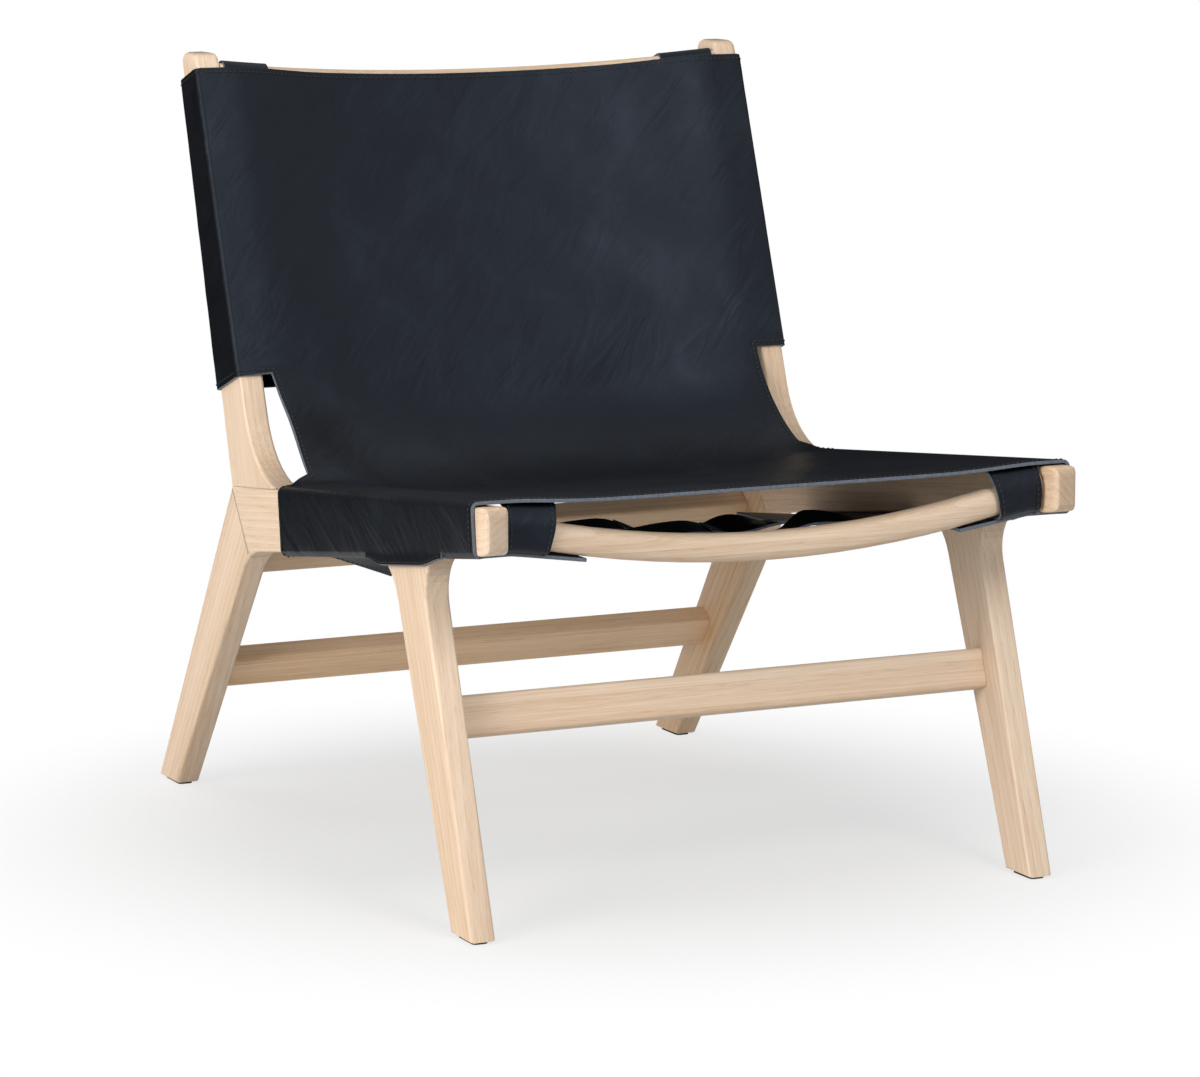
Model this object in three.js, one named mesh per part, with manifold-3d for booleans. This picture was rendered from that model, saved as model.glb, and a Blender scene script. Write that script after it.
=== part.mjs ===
// Lounge chair with a hide sling on an ash frame.
// Millimetres. X runs across the chair, Y to the rear and Z up. The origin is on the floor.
import * as THREE from 'three';
import { mergeVertices } from 'three/addons/utils/BufferGeometryUtils.js';
import Module from 'manifold-3d';

const wasm = await Module();
wasm.setup();
const degree = Math.PI / 180;

// Clearance left at every glue line, seam and seat.
const gap = 0.3;

// Side frames: a front leg, a rail, a rear leg and a back post in one flat outline.
const chairWidth = 603;
const stock = 25;
const easing = 3;
const railFront = -410;
const railFrontHeight = 400;
const railFrontDepth = 43;
const railTopFall = 6 * degree;
const railBottomFall = 8.2 * degree;
const railNose = 7;
const elbowY = 190;
const frontFoot = -388;
const frontFootWidth = 45;
const frontLegFrontLean = 18.4 * degree;
const frontLegRearLean = 22.2 * degree;
const frontFilletRadius = 40;
const rearFilletRadius = 52;
const rearLegRearLean = 33.35 * degree;
const rearLegFrontLean = 37.6 * degree;
const rearFootWidth = 50;
const kneeRadius = 70;
const postHeight = 760;
const postRearLean = 16.6 * degree;
const postFrontLean = 19.7 * degree;
const postTopWidth = 41;
const postFilletRadius = 90;
const postCorner = 8;

// Dowels in the joints of a side frame.
const dowelRadius = 5;
const dowelLength = 36;
const dowelPitch = 28;
const kneeDowelInset = 29;
const postDowelRise = 8;

// Glides under the feet.
const glideHeight = 2.5;
const glideInset = 5;
const glideCorner = 4;

// Cross boards between the side frames.
const boardThickness = 24;
const boardHeight = 38;
const boardEasing = 4;
const tenonDepth = 15;
const tenonShoulder = 6;
const frontStretcherHeight = 187;
const frontStretcherSetback = 25;
const rearStretcherHeight = 134;
const rearStretcherSetback = 18;
const rearRailBelowElbow = 65;
const rearRailSetback = 34;

// Bowed bars: the front seat rail hangs down, the top back rail bends to the rear.
const seatBarRadius = 1077;
const seatBarSetback = 23;
const seatBarDrop = 20;
const seatBarDeep = 26;
const seatBarTall = 26;
const topRailRadius = 880;
const topRailTall = 40;
const topRailThick = 24;
const topRailBelowPost = 7;

// Hide sling.
const hide = 3.5;
const hideEdgeInset = 6.5;
const seatFrontEdge = 10;
const freeCurveRadius = 118;
const seatWrapPastCurve = 23.5;
const backWrapAboveCurve = 18.9;
const hideBelowPost = 15;
const flapReach = 86;
const flapSetback = 10;
const legClear = 6;
const legTabClear = 14;
const seatFrontSag = 4.5;
const seatSag = 14;
const backSag = 22;
const backFlapBelowRail = 18;
const bowFullBelowRail = 20;
const flapDroop = 18;
const droopSetback = 178;
const droopLength = 192;

// Loops that tie the hide to the bowed bars.
const loopThickness = 2.5;
const loopWidth = 51;
const loopSideGap = 5;
const loopLap = 26;

// Buckled straps that pull the flaps together.
const strapThickness = 2.5;
const strapWidth = 25;
const strapLap = 40;
const strapInset = 3;
const frontStrapSetback = 160;
const rearStrapBeforeElbow = 207;
const lowerStrapAboveElbow = 168;
const upperStrapBelowTop = 135;
const frontBuckleX = 49;
const rearBuckleX = 72;
const backBuckleX = 49;
const buckleBar = 3.2;
const buckleLength = 26;
const buckleSideGap = 1.5;
const strapFold = 28;
const strapTail = 62;
const foldNeck = 12;
const foldSlot = 8;
const tailCrest = 6;
const keeperWidth = 10;
const keeperOffset = 42;
const keeperThickness = 1.8;
const prongWidth = 4.4;
const prongThickness = 1.8;
const prongOverhang = 3.5;
const slotWidth = 6.6;

const ash = new THREE.MeshStandardMaterial({ color: 0xe3c8a4, roughness: 0.62, metalness: 0 });
const endAsh = new THREE.MeshStandardMaterial({ color: 0xcfae86, roughness: 0.7, metalness: 0 });
const blackHide = new THREE.MeshStandardMaterial({ color: 0x20242b, roughness: 0.48, metalness: 0 });
const bronze = new THREE.MeshStandardMaterial({ color: 0x8a6f45, roughness: 0.35, metalness: 1 });
const felt = new THREE.MeshStandardMaterial({ color: 0x2a2826, roughness: 0.9, metalness: 0 });

const frameX = (chairWidth - stock) / 2;
const innerX = chairWidth / 2 - stock;
const outerX = chairWidth / 2;
const hideEdge = innerX - hideEdgeInset;

// A line in the side view: a point and a direction.
const line = (y, z, angle) => ({ y, z, dy: Math.cos(angle), dz: Math.sin(angle) });
const along = (l, distance) => [l.y + l.dy * distance, l.z + l.dz * distance];
const atY = (l, y) => l.z + (y - l.y) * l.dz / l.dy;
const atZ = (l, z) => l.y + (z - l.z) * l.dy / l.dz;
const shifted = (l, d) => ({ ...l, y: l.y - l.dz * d, z: l.z + l.dy * d });
const shiftedAlong = (l, d) => ({ ...l, y: l.y + l.dy * d, z: l.z + l.dz * d });
const lean = (angle) => Math.PI / 2 - angle;

function meet(a, b) {
  const cross = a.dy * b.dz - a.dz * b.dy;
  const distance = ((b.y - a.y) * b.dz - (b.z - a.z) * b.dy) / cross;
  return along(a, distance);
}

const railTop = line(railFront, railFrontHeight, -railTopFall);
const railBottom = line(railFront, railFrontHeight - railFrontDepth, -railBottomFall);
const elbow = [elbowY, atY(railTop, elbowY)];
const rearRailHeight = elbow[1] - rearRailBelowElbow;
const footCut = glideHeight + gap;
const frontLegFront = line(frontFoot, 0, lean(frontLegFrontLean));
const frontLegRear = line(frontFoot + frontFootWidth, 0, lean(frontLegRearLean));
const rearLegRear = line(...elbow, Math.PI - lean(rearLegRearLean));
const rearFoot = atZ(rearLegRear, 0);
const rearLegFront = line(rearFoot - rearFootWidth, 0, Math.PI - lean(rearLegFrontLean));
const postRear = line(...elbow, lean(postRearLean));
const postTopRear = atZ(postRear, postHeight);
const postFront = line(postTopRear - postTopWidth, postHeight, lean(postFrontLean));
const knee = meet(railBottom, rearLegFront);
const mitre = line(...knee, Math.atan2(elbow[1] - knee[1], elbow[0] - knee[0]));

// A closed outline through corners, each rounded by its own radius.
function roundedOutline(corners) {
  const shape = new THREE.Shape();
  const count = corners.length;
  for (let i = 0; i < count; i += 1) {
    const [y, z, radius = 0] = corners[i];
    const before = corners[(i + count - 1) % count];
    const after = corners[(i + 1) % count];
    const toBefore = new THREE.Vector2(before[0] - y, before[1] - z).normalize();
    const toAfter = new THREE.Vector2(after[0] - y, after[1] - z).normalize();
    const half = Math.acos(toBefore.dot(toAfter)) / 2;
    const tangent = radius / Math.tan(half);
    const start = toBefore.clone().multiplyScalar(tangent).add({ x: y, y: z });
    const end = toAfter.clone().multiplyScalar(tangent).add({ x: y, y: z });
    if (i === 0) shape.moveTo(start.x, start.y);
    else shape.lineTo(start.x, start.y);
    if (radius === 0) continue;
    const middle = toBefore.clone().add(toAfter).normalize();
    const centre = middle.multiplyScalar(radius / Math.sin(half)).add({ x: y, y: z });
    const from = Math.atan2(start.y - centre.y, start.x - centre.x);
    const to = Math.atan2(end.y - centre.y, end.x - centre.x);
    const clockwise = toBefore.cross(toAfter) > 0;
    shape.absarc(centre.x, centre.y, radius, from, to, clockwise);
  }
  shape.closePath();
  return shape;
}

const rectangle = (width, height, radius) => roundedOutline([
  [-width / 2, -height / 2, radius],
  [width / 2, -height / 2, radius],
  [width / 2, height / 2, radius],
  [-width / 2, height / 2, radius],
]);

// Turns a side view drawn in X and Y into the chair's Y and Z, with its depth along X.
const sideView = new THREE.Matrix4().makeBasis(
  new THREE.Vector3(0, 1, 0),
  new THREE.Vector3(0, 0, 1),
  new THREE.Vector3(1, 0, 0),
);

function extrudeSide(shape, depth, options = {}) {
  const bevel = options.bevel ?? 0;
  const geometry = new THREE.ExtrudeGeometry(shape, {
    depth: depth - 2 * bevel,
    bevelEnabled: bevel > 0,
    bevelThickness: bevel,
    bevelSize: bevel,
    bevelOffset: -bevel,
    bevelSegments: options.segments ?? 2,
    curveSegments: options.curve ?? 5,
  });
  geometry.translate(0, 0, bevel - depth / 2);
  return geometry.applyMatrix4(sideView);
}

// Solids for joining and cutting.
function solid(geometry) {
  const bare = geometry.clone();
  bare.deleteAttribute('normal');
  bare.deleteAttribute('uv');
  const merged = mergeVertices(bare, 1e-4);
  const vertProperties = new Float32Array(merged.attributes.position.array);
  const triVerts = new Uint32Array(merged.index.array);
  return new wasm.Manifold(new wasm.Mesh({ numProp: 3, vertProperties, triVerts }));
}

function shell(manifold) {
  const mesh = manifold.getMesh();
  const geometry = new THREE.BufferGeometry();
  geometry.setAttribute('position', new THREE.BufferAttribute(mesh.vertProperties, 3));
  geometry.setIndex(new THREE.BufferAttribute(mesh.triVerts, 1));
  geometry.computeVertexNormals();
  return geometry;
}

function piece(name, geometry, material) {
  const mesh = new THREE.Mesh(geometry, material);
  mesh.name = name;
  return mesh;
}

// Everything on the left of a line, seen from the side.
const reach = 3000;
const turned = (l) => ({ ...l, dy: -l.dy, dz: -l.dz });

function block(l) {
  const near = along(l, -reach);
  const far = along(l, reach);
  const shape = roundedOutline([
    near,
    far,
    [far[0] - l.dz * reach, far[1] + l.dy * reach],
    [near[0] - l.dz * reach, near[1] + l.dy * reach],
  ]);
  return solid(extrudeSide(shape, 2 * stock));
}

// Cross pieces: where their ends meet the side frames, how they lie and how thick they are.
const frontLeg = shifted(frontLegFront, -frontStretcherSetback - boardThickness / 2);
const rearLeg = shifted(rearLegFront, -rearStretcherSetback - boardThickness / 2);
const rearRail = shifted(rearLegFront, -rearRailSetback - boardThickness / 2);
const rearTilt = (rearLegFrontLean + rearLegRearLean) / 2;
const seatBarY = railFront + seatBarSetback;
const droopStart = railFront + droopSetback;
const arcRise = (radius, x) => Math.sqrt(radius ** 2 - x ** 2);
const hideBowRadius = topRailRadius - topRailThick / 2 - loopThickness - 2 * gap;
const topRailInset = arcRise(topRailRadius, innerX) - arcRise(hideBowRadius, hideEdge) - gap;
const topRailLine = shifted(postFront, -topRailInset);
const topRailSeat = along(topRailLine, -(topRailBelowPost + topRailTall / 2) / Math.cos(postFrontLean));
const board = { deep: boardThickness, tall: boardHeight, corner: boardEasing };
const crossPieces = {
  front_stretcher: {
    ...board,
    y: atZ(frontLeg, frontStretcherHeight),
    z: frontStretcherHeight,
    tilt: -frontLegFrontLean,
  },
  rear_stretcher: {
    ...board,
    y: atZ(rearLeg, rearStretcherHeight),
    z: rearStretcherHeight,
    tilt: rearTilt,
  },
  rear_seat_rail: { ...board, y: atZ(rearRail, rearRailHeight), z: rearRailHeight, tilt: rearTilt },
  front_seat_rail: {
    y: seatBarY,
    z: atY(railTop, seatBarY) - seatBarDrop,
    tilt: 0,
    deep: seatBarDeep,
    tall: seatBarTall,
    corner: 10,
    bow: seatBarRadius,
  },
  top_back_rail: {
    y: topRailSeat[0],
    z: topRailSeat[1],
    tilt: lean(postFrontLean),
    deep: topRailTall,
    tall: topRailThick,
    corner: 6,
    bow: topRailRadius,
  },
};

// An arc across the chair that hangs below its ends at the side frames.
class Bow extends THREE.Curve {
  constructor(radius, from, to) {
    super();
    Object.assign(this, { radius, from: Math.asin(from / radius), to: Math.asin(to / radius) });
  }

  getPoint(t, target = new THREE.Vector3()) {
    const angle = this.from + (this.to - this.from) * t;
    const ends = arcRise(this.radius, innerX);
    return target.set(this.radius * Math.sin(angle), 0, ends - this.radius * Math.cos(angle));
  }
}

function sweep(shape, radius, from, to, steps) {
  const extrudePath = new Bow(radius, from, to);
  return new THREE.ExtrudeGeometry(shape, { steps, bevelEnabled: false, curveSegments: 2, extrudePath });
}

function tenon(cross, clearance) {
  const deep = cross.deep - 2 * tenonShoulder + 2 * clearance;
  const tall = cross.tall - 2 * tenonShoulder + 2 * clearance;
  return new THREE.BoxGeometry(2 * (tenonDepth + clearance), deep, tall);
}

function crossPiece(name) {
  const cross = crossPieces[name];
  const section = rectangle(cross.deep, cross.tall, cross.corner);
  const length = 2 * (innerX - gap);
  let bar;
  if (cross.bow) {
    const long = sweep(section, cross.bow, -innerX - stock, innerX + stock, 20);
    bar = solid(long).intersect(solid(new THREE.BoxGeometry(length, reach, reach)));
  } else {
    bar = solid(extrudeSide(section, length, { curve: 3 }));
  }
  for (const side of [-1, 1]) {
    bar = bar.add(solid(tenon(cross, 0).translate(side * innerX, 0, 0)));
  }
  const mesh = piece(name, shell(bar), ash);
  mesh.position.set(0, cross.y, cross.z);
  mesh.rotation.x = cross.tilt;
  return mesh;
}

// One side frame about its own middle, with its inner face at +X.
const frameOutline = roundedOutline([
  [railFront, railBottom.z, railNose],
  [...meet(railBottom, frontLegFront), frontFilletRadius],
  [atZ(frontLegFront, footCut), footCut],
  [atZ(frontLegRear, footCut), footCut],
  [...meet(railBottom, frontLegRear), rearFilletRadius],
  [...knee, kneeRadius],
  [atZ(rearLegFront, footCut), footCut],
  [atZ(rearLegRear, footCut), footCut],
  elbow,
  [postTopRear, postHeight, postCorner],
  [postTopRear - postTopWidth, postHeight, postCorner],
  [...meet(railTop, postFront), postFilletRadius],
  [railFront, railFrontHeight, railNose],
]);

function underRail(clearance) {
  const under = shifted(railBottom, -clearance);
  const bay = (meet(railBottom, frontLegRear)[0] + knee[0]) / 2;
  const shape = roundedOutline([
    [-reach, -reach],
    [bay, -reach],
    [bay, atY(under, bay)],
    [-reach, atY(under, -reach)],
  ]);
  return solid(extrudeSide(shape, 2 * stock));
}

// Dowel places: two on each joint line, square to it.
function dowelPlaces() {
  const legTop = (meet(railBottom, frontLegFront)[0] + meet(railBottom, frontLegRear)[0]) / 2;
  const postFoot = (meet(railTop, postFront)[0] + elbow[0]) / 2;
  const joints = {
    leg: { ...railBottom, y: legTop, z: atY(railBottom, legTop) },
    knee: shiftedAlong(mitre, kneeDowelInset),
    post: shifted({ ...railTop, y: postFoot, z: atY(railTop, postFoot) }, postDowelRise),
  };
  const places = [];
  for (const [joint, l] of Object.entries(joints)) {
    for (const end of ['a', 'b']) {
      const [y, z] = along(l, (end === 'a' ? -1 : 1) * dowelPitch / 2);
      places.push({ name: `${joint}_dowel_${end}`, y, z, turn: Math.atan2(l.dz, l.dy) });
    }
  }
  return places;
}

function dowel(place, clearance) {
  const radius = dowelRadius + clearance;
  const geometry = new THREE.CylinderGeometry(radius, radius, dowelLength + 2 * clearance, 14);
  return geometry.rotateX(Math.PI / 2 + place.turn).translate(0, place.y, place.z);
}

function glide(front, rear) {
  const pad = rectangle(stock - 2 * glideInset, rear - front - 2 * glideInset, glideCorner);
  const geometry = new THREE.ExtrudeGeometry(pad, { depth: glideHeight, bevelEnabled: false, curveSegments: 2 });
  return geometry.translate(0, (front + rear) / 2, 0);
}

function sideFrame(side) {
  const blank = solid(extrudeSide(frameOutline, stock, { bevel: easing }));
  const parts = {
    front_leg: blank.intersect(underRail(gap)),
    side_rail: blank.intersect(block(mitre)).subtract(block(railTop)).subtract(underRail(0)),
    rear_leg: blank.intersect(block(turned(shifted(mitre, -gap)))),
    back_post: blank.intersect(block(shifted(railTop, gap))),
  };
  const group = new THREE.Group();
  const places = dowelPlaces();
  const cuts = places.map((place) => solid(dowel(place, gap)));
  for (const cross of Object.values(crossPieces)) {
    const mortise = tenon(cross, gap).rotateX(cross.tilt).translate(stock / 2, cross.y, cross.z);
    cuts.push(solid(mortise));
  }
  for (const [name, part] of Object.entries(parts)) {
    const cut = cuts.reduce((rest, hole) => rest.subtract(hole), part);
    group.add(piece(`${side}_${name}`, shell(cut), ash));
  }
  for (const place of places) {
    group.add(piece(`${side}_${place.name}`, dowel(place, 0), endAsh));
  }
  const frontGlide = glide(atZ(frontLegFront, footCut), atZ(frontLegRear, footCut));
  const rearGlide = glide(atZ(rearLegFront, footCut), atZ(rearLegRear, footCut));
  group.add(piece(`${side}_front_glide`, frontGlide, felt));
  group.add(piece(`${side}_rear_glide`, rearGlide, felt));
  return group;
}

const chair = new THREE.Group();
const leftFrame = sideFrame('left');
leftFrame.position.x = -frameX;
const rightFrame = sideFrame('right');
rightFrame.position.x = frameX;
rightFrame.scale.x = -1;
chair.add(leftFrame, rightFrame);
for (const name of Object.keys(crossPieces)) chair.add(crossPiece(name));

// The hide's middle line: along the rails, round a free curve and up the posts.
const seatLine = shifted(railTop, gap);
const backLine = shifted(postFront, gap);
const hideCorner = meet(seatLine, backLine);
const hideTurn = lean(postFrontLean) + railTopFall;
const hideTangent = freeCurveRadius * Math.tan(hideTurn / 2);
const curveStart = shiftedAlong({ ...seatLine, y: hideCorner[0], z: hideCorner[1] }, -hideTangent);
const curveEnd = shiftedAlong({ ...backLine, y: hideCorner[0], z: hideCorner[1] }, hideTangent);
const curveLength = freeCurveRadius * hideTurn;
const seatStation = (y) => (y - curveStart.y) / curveStart.dy;
const backStation = (z) => curveLength + (z - curveEnd.z) / curveEnd.dz;

// A spot on the middle line, with the direction of the face that is sat on.
function spot(station, straight) {
  if (station <= 0 || straight) {
    const l = station >= curveLength ? curveEnd : curveStart;
    const [y, z] = along(l, station >= curveLength ? station - curveLength : station);
    return { y, z, ny: -l.dz, nz: l.dy };
  }
  if (station >= curveLength) return spot(station, true);
  const angle = station / freeCurveRadius - railTopFall;
  const ny = -Math.sin(angle);
  const nz = Math.cos(angle);
  const centreY = curveStart.y - curveStart.dz * freeCurveRadius;
  const centreZ = curveStart.z + curveStart.dy * freeCurveRadius;
  return { y: centreY - ny * freeCurveRadius, z: centreZ - nz * freeCurveRadius, ny, nz };
}

// How thick the rail or post under a spot is, measured square to the hide.
function woodDepth(station) {
  const { y, z, ny, nz } = spot(station, true);
  const below = { y, z, dy: -ny, dz: -nz };
  const far = meet(below, station >= curveLength ? postRear : railBottom);
  return Math.hypot(far[0] - y, far[1] - z) - gap;
}

const smooth = (t) => THREE.MathUtils.smoothstep(t, 0, 1);
const topRailLow = postHeight - topRailBelowPost - topRailTall * Math.cos(postFrontLean);
const hideFront = seatStation(railFront + seatFrontEdge);
const hideTop = backStation(postHeight - hideBelowPost);
const bowFull = backStation(topRailLow - bowFullBelowRail);

// How far the hide hangs below the middle line between the side frames.
function sag(station, x) {
  const front = smooth((station - hideFront - 2 * seatBarDeep) / 150);
  const dip = THREE.MathUtils.lerp(seatFrontSag, seatSag, front);
  const seat = dip * (1 - Math.abs(x / hideEdge) ** THREE.MathUtils.lerp(8, 3, front));
  const rise = smooth((station - curveLength) / (bowFull - curveLength));
  const arc = arcRise(hideBowRadius, x) - arcRise(hideBowRadius, hideEdge);
  const deepest = hideBowRadius - arcRise(hideBowRadius, hideEdge);
  const back = arc * THREE.MathUtils.lerp(backSag / deepest, 1, rise);
  return THREE.MathUtils.lerp(seat, back, smooth(station / curveLength));
}

// The flaps under the rails pass below the front bar and droop behind the front legs.
function flapDip(station, x) {
  const { y, z, nz } = spot(station, true);
  if (station >= curveLength || x > innerX - flapReach) return 0;
  const seatBar = crossPieces.front_seat_rail;
  const hang = arcRise(seatBarRadius, x) - arcRise(seatBarRadius, innerX);
  const barBottom = seatBar.z - hang - seatBarTall / 2 - gap;
  const flapTop = z - (woodDepth(station) + 2 * gap) * nz;
  const underBar = 1 - smooth((y - seatBarY - seatBarDeep) / seatBarDeep);
  const droop = Math.sin(Math.PI * THREE.MathUtils.clamp((y - droopStart) / droopLength, 0, 1)) ** 2;
  return Math.max(0, flapTop - barBottom) * underBar + flapDroop * droop;
}

// Columns of the hide from its middle to the edge of a flap.
function hideColumns() {
  const columns = [0, 1, 2, 3, 4].map((step) => ({ zone: 'sheet', x: step * hideEdge / 4 }));
  for (const over of [0, 45, 90]) columns.push({ zone: 'wrap', over: over * degree });
  columns.push({ zone: 'wrap', under: 0 });
  for (const under of [45, 90]) columns.push({ zone: 'turn', under: under * degree });
  columns.push({ zone: 'turn', x: innerX - legTabClear, below: true });
  columns.push({ zone: 'flap', x: innerX - flapReach, below: true });
  return columns;
}

// A column's place in the cross-section and the direction of its outer face.
function sectionAt(column, station) {
  const depth = woodDepth(station);
  const radius = easing + gap;
  const centreX = outerX - easing;
  if (column.over !== undefined) {
    const nx = Math.sin(column.over);
    const nh = Math.cos(column.over);
    return { x: centreX + radius * nx, h: radius * nh - radius, nx, nh };
  }
  if (column.under !== undefined) {
    const nx = Math.cos(column.under);
    const nh = -Math.sin(column.under);
    return { x: centreX + radius * nx, h: easing - gap - depth + radius * nh, nx, nh };
  }
  if (column.below) {
    const h = -2 * gap - depth - flapDip(station, column.x);
    return { x: column.x, h, nx: 0, nh: -1 };
  }
  return { x: column.x, h: -sag(station, column.x), nx: 0, nh: 1 };
}

// Where the front leg leaves the rail, fillets included.
function legSpan() {
  const front = meet(railBottom, frontLegFront)[0];
  const rear = meet(railBottom, frontLegRear)[0];
  const dot = (a, b) => a.dy * b.dy + a.dz * b.dz;
  const frontHalf = Math.acos(dot(railBottom, frontLegFront)) / 2;
  const rearHalf = Math.acos(-dot(railBottom, frontLegRear)) / 2;
  return {
    from: front - frontFilletRadius / Math.tan(frontHalf) - legClear,
    to: rear + rearFilletRadius / Math.tan(rearHalf) + 2 * legClear,
  };
}

// Rows of the hide from the front edge of the seat to the top of the back.
function hideRows() {
  const leg = legSpan();
  const between = (from, to, steps) =>
    Array.from({ length: steps }, (_, i) => THREE.MathUtils.lerp(from, to, (i + 1) / steps));
  const barRear = seatStation(seatBarY + seatBarDeep / 2 + 2);
  const from = seatStation(leg.from);
  const to = seatStation(leg.to);
  const seatEnd = seatWrapPastCurve;
  const backStart = curveLength + backWrapAboveCurve;
  const flapTop = backStation(topRailLow - backFlapBelowRail);
  const droop = seatStation(droopStart);
  const rows = [hideFront, barRear, from, droop];
  rows.push(...between(droop, to, 2));
  rows.push(...between(to, seatStation(droopStart + droopLength), 3), 0, seatEnd);
  rows.push(...between(seatEnd, curveLength, 6), backStart);
  rows.push(...between(backStart, flapTop, 4));
  rows.push(...between(flapTop, hideTop, 2));
  return { rows, from, to, seatEnd, backStart, flapTop };
}

function slingGeometry() {
  const { rows, from, to, seatEnd, backStart, flapTop } = hideRows();
  const half = hideColumns();
  const left = half.slice(1).reverse().map((column) => ({ ...column, side: -1 }));
  const columns = [...left, ...half.map((column) => ({ ...column, side: 1 }))];
  const points = [];
  for (const station of rows) {
    for (const column of columns) {
      const row = column.below ? Math.max(station, hideFront + flapSetback) : station;
      const { x, h, nx, nh } = sectionAt(column, row);
      const base = spot(row, column.zone !== 'sheet');
      for (const thick of [0, hide]) {
        const height = h + thick * nh;
        const across = column.side * (x + thick * nx);
        points.push(across, base.y + base.ny * height, base.z + base.nz * height);
      }
    }
  }
  const kept = (i, j) => {
    if (i < 0 || j < 0 || i > rows.length - 2 || j > columns.length - 2) return false;
    const outer = columns[j].side < 0 ? columns[j] : columns[j + 1];
    const middle = (rows[i] + rows[i + 1]) / 2;
    const onSeat = middle < seatEnd;
    const onBack = middle > backStart;
    if (outer.zone === 'sheet') return true;
    if (outer.zone === 'wrap') return onSeat || onBack;
    if (outer.zone === 'turn') return onBack || (onSeat && (middle < from || middle > to));
    return onSeat || (onBack && middle < flapTop);
  };
  const index = [];
  const at = (i, j, layer) => 2 * (i * columns.length + j) + layer;
  const wall = (a, b) => index.push(b, a, a - 1, b, a - 1, b - 1);
  for (let i = 0; i < rows.length - 1; i += 1) {
    for (let j = 0; j < columns.length - 1; j += 1) {
      if (!kept(i, j)) continue;
      const ring = [at(i, j, 1), at(i, j + 1, 1), at(i + 1, j + 1, 1), at(i + 1, j, 1)];
      const [a, b, c, d] = ring;
      index.push(a, b, c, a, c, d, c - 1, b - 1, a - 1, d - 1, c - 1, a - 1);
      const neighbours = [kept(i - 1, j), kept(i, j + 1), kept(i + 1, j), kept(i, j - 1)];
      neighbours.forEach((there, k) => there || wall(ring[k], ring[(k + 1) % 4]));
    }
  }
  const geometry = new THREE.BufferGeometry();
  geometry.setAttribute('position', new THREE.Float32BufferAttribute(points, 3));
  geometry.setIndex(index);
  geometry.computeVertexNormals();
  return geometry;
}
chair.add(piece('sling', slingGeometry(), blackHide));

// A flat band with the outline of a hook, seen from the side of the chair.
function bandAcross(outline, width) {
  return extrudeSide(roundedOutline(outline), width, { curve: 2 });
}

// Front loops run from under the seat's edge, round the front bar and below the flaps.
function frontLoop(side) {
  const t = loopThickness;
  const rear = seatBarY + seatBarDeep / 2;
  const front = seatBarY - seatBarDeep / 2 - gap - t;
  const under = shifted(seatLine, -seatFrontSag - gap);
  const inside = innerX - loopSideGap - loopWidth;
  const flapAt = THREE.MathUtils.inverseLerp(innerX - legTabClear, innerX - flapReach, inside);
  const row = hideFront;
  const { z, nz } = spot(row, true);
  const drop = woodDepth(row) + 2 * gap + hide + flapAt * flapDip(row, innerX - flapReach);
  const low = z - drop * nz - 2 * gap - t;
  const fall = (rear - front) * Math.tan(railBottomFall);
  const geometry = bandAcross([
    [rear, atY(under, rear)],
    [front, atY(under, front), t + 5],
    [front, low, t + 5],
    [rear, low - fall],
    [rear, low - fall + t],
    [front + t, low + t, 5],
    [front + t, atY(under, front) - t, 5],
    [rear, atY(under, rear) - t],
  ], loopWidth);
  const mesh = piece(side < 0 ? 'left_front_loop' : 'right_front_loop', geometry, blackHide);
  mesh.position.x = side * (inside + loopWidth / 2);
  return mesh;
}

// Top loops run from behind the hide's top edge, round the top rail and back to the hide.
function topLoop(side) {
  const t = loopThickness;
  const tall = topRailTall / 2 + gap;
  const thick = topRailThick / 2 + gap;
  const outline = roundedOutline([
    [-tall + loopLap, -thick - t],
    [tall + t, -thick - t, t + 5],
    [tall + t, thick + t, t + 5],
    [-tall - t, thick + t, t + 5],
    [-tall - t, -thick],
    [-tall - t - loopLap / 2, -thick],
    [-tall - t - loopLap / 2, -thick - t],
    [-tall, -thick - t, t],
    [-tall, thick, 5],
    [tall, thick, 5],
    [tall, -thick, 5],
    [-tall + loopLap, -thick],
  ].map(([up, rear, radius]) => [-up, rear, radius]));
  const near = innerX - loopSideGap - loopWidth;
  const far = innerX - loopSideGap;
  const ends = side < 0 ? [-far, -near] : [near, far];
  const geometry = sweep(outline, topRailRadius, ...ends, 3);
  const mesh = piece(side < 0 ? 'left_top_loop' : 'right_top_loop', geometry, blackHide);
  const rail = crossPieces.top_back_rail;
  mesh.position.set(0, rail.y, rail.z);
  mesh.rotation.x = rail.tilt;
  return mesh;
}

for (const side of [-1, 1]) chair.add(frontLoop(side), topLoop(side));

// A strap's side view: its middle path with the thickness laid off on both sides.
function strapSolid(path, divisions) {
  const points = path.getPoints(divisions);
  const offset = (sign) => points.map((point, i) => {
    const before = points[Math.max(i - 1, 0)];
    const after = points[Math.min(i + 1, points.length - 1)];
    const ahead = point.distanceTo(after) > 0 ? after.clone().sub(point).normalize() : null;
    const behind = point.distanceTo(before) > 0 ? point.clone().sub(before).normalize() : null;
    const run = (ahead ?? behind).clone().add(behind ?? ahead).normalize();
    const stretch = sign * strapThickness / 2 / run.dot(ahead ?? behind);
    return new THREE.Vector2(point.x - run.y * stretch, point.y + run.x * stretch);
  });
  const shape = new THREE.Shape([...offset(-1), ...offset(1).reverse()]);
  const geometry = new THREE.ExtrudeGeometry(shape, { depth: strapWidth, bevelEnabled: false });
  return solid(geometry.rotateX(Math.PI / 2).translate(0, strapWidth / 2, 0));
}

function slot(from, to) {
  const box = new THREE.BoxGeometry(to - from, slotWidth, reach);
  return solid(box.translate((from + to) / 2, 0, 0));
}

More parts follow.
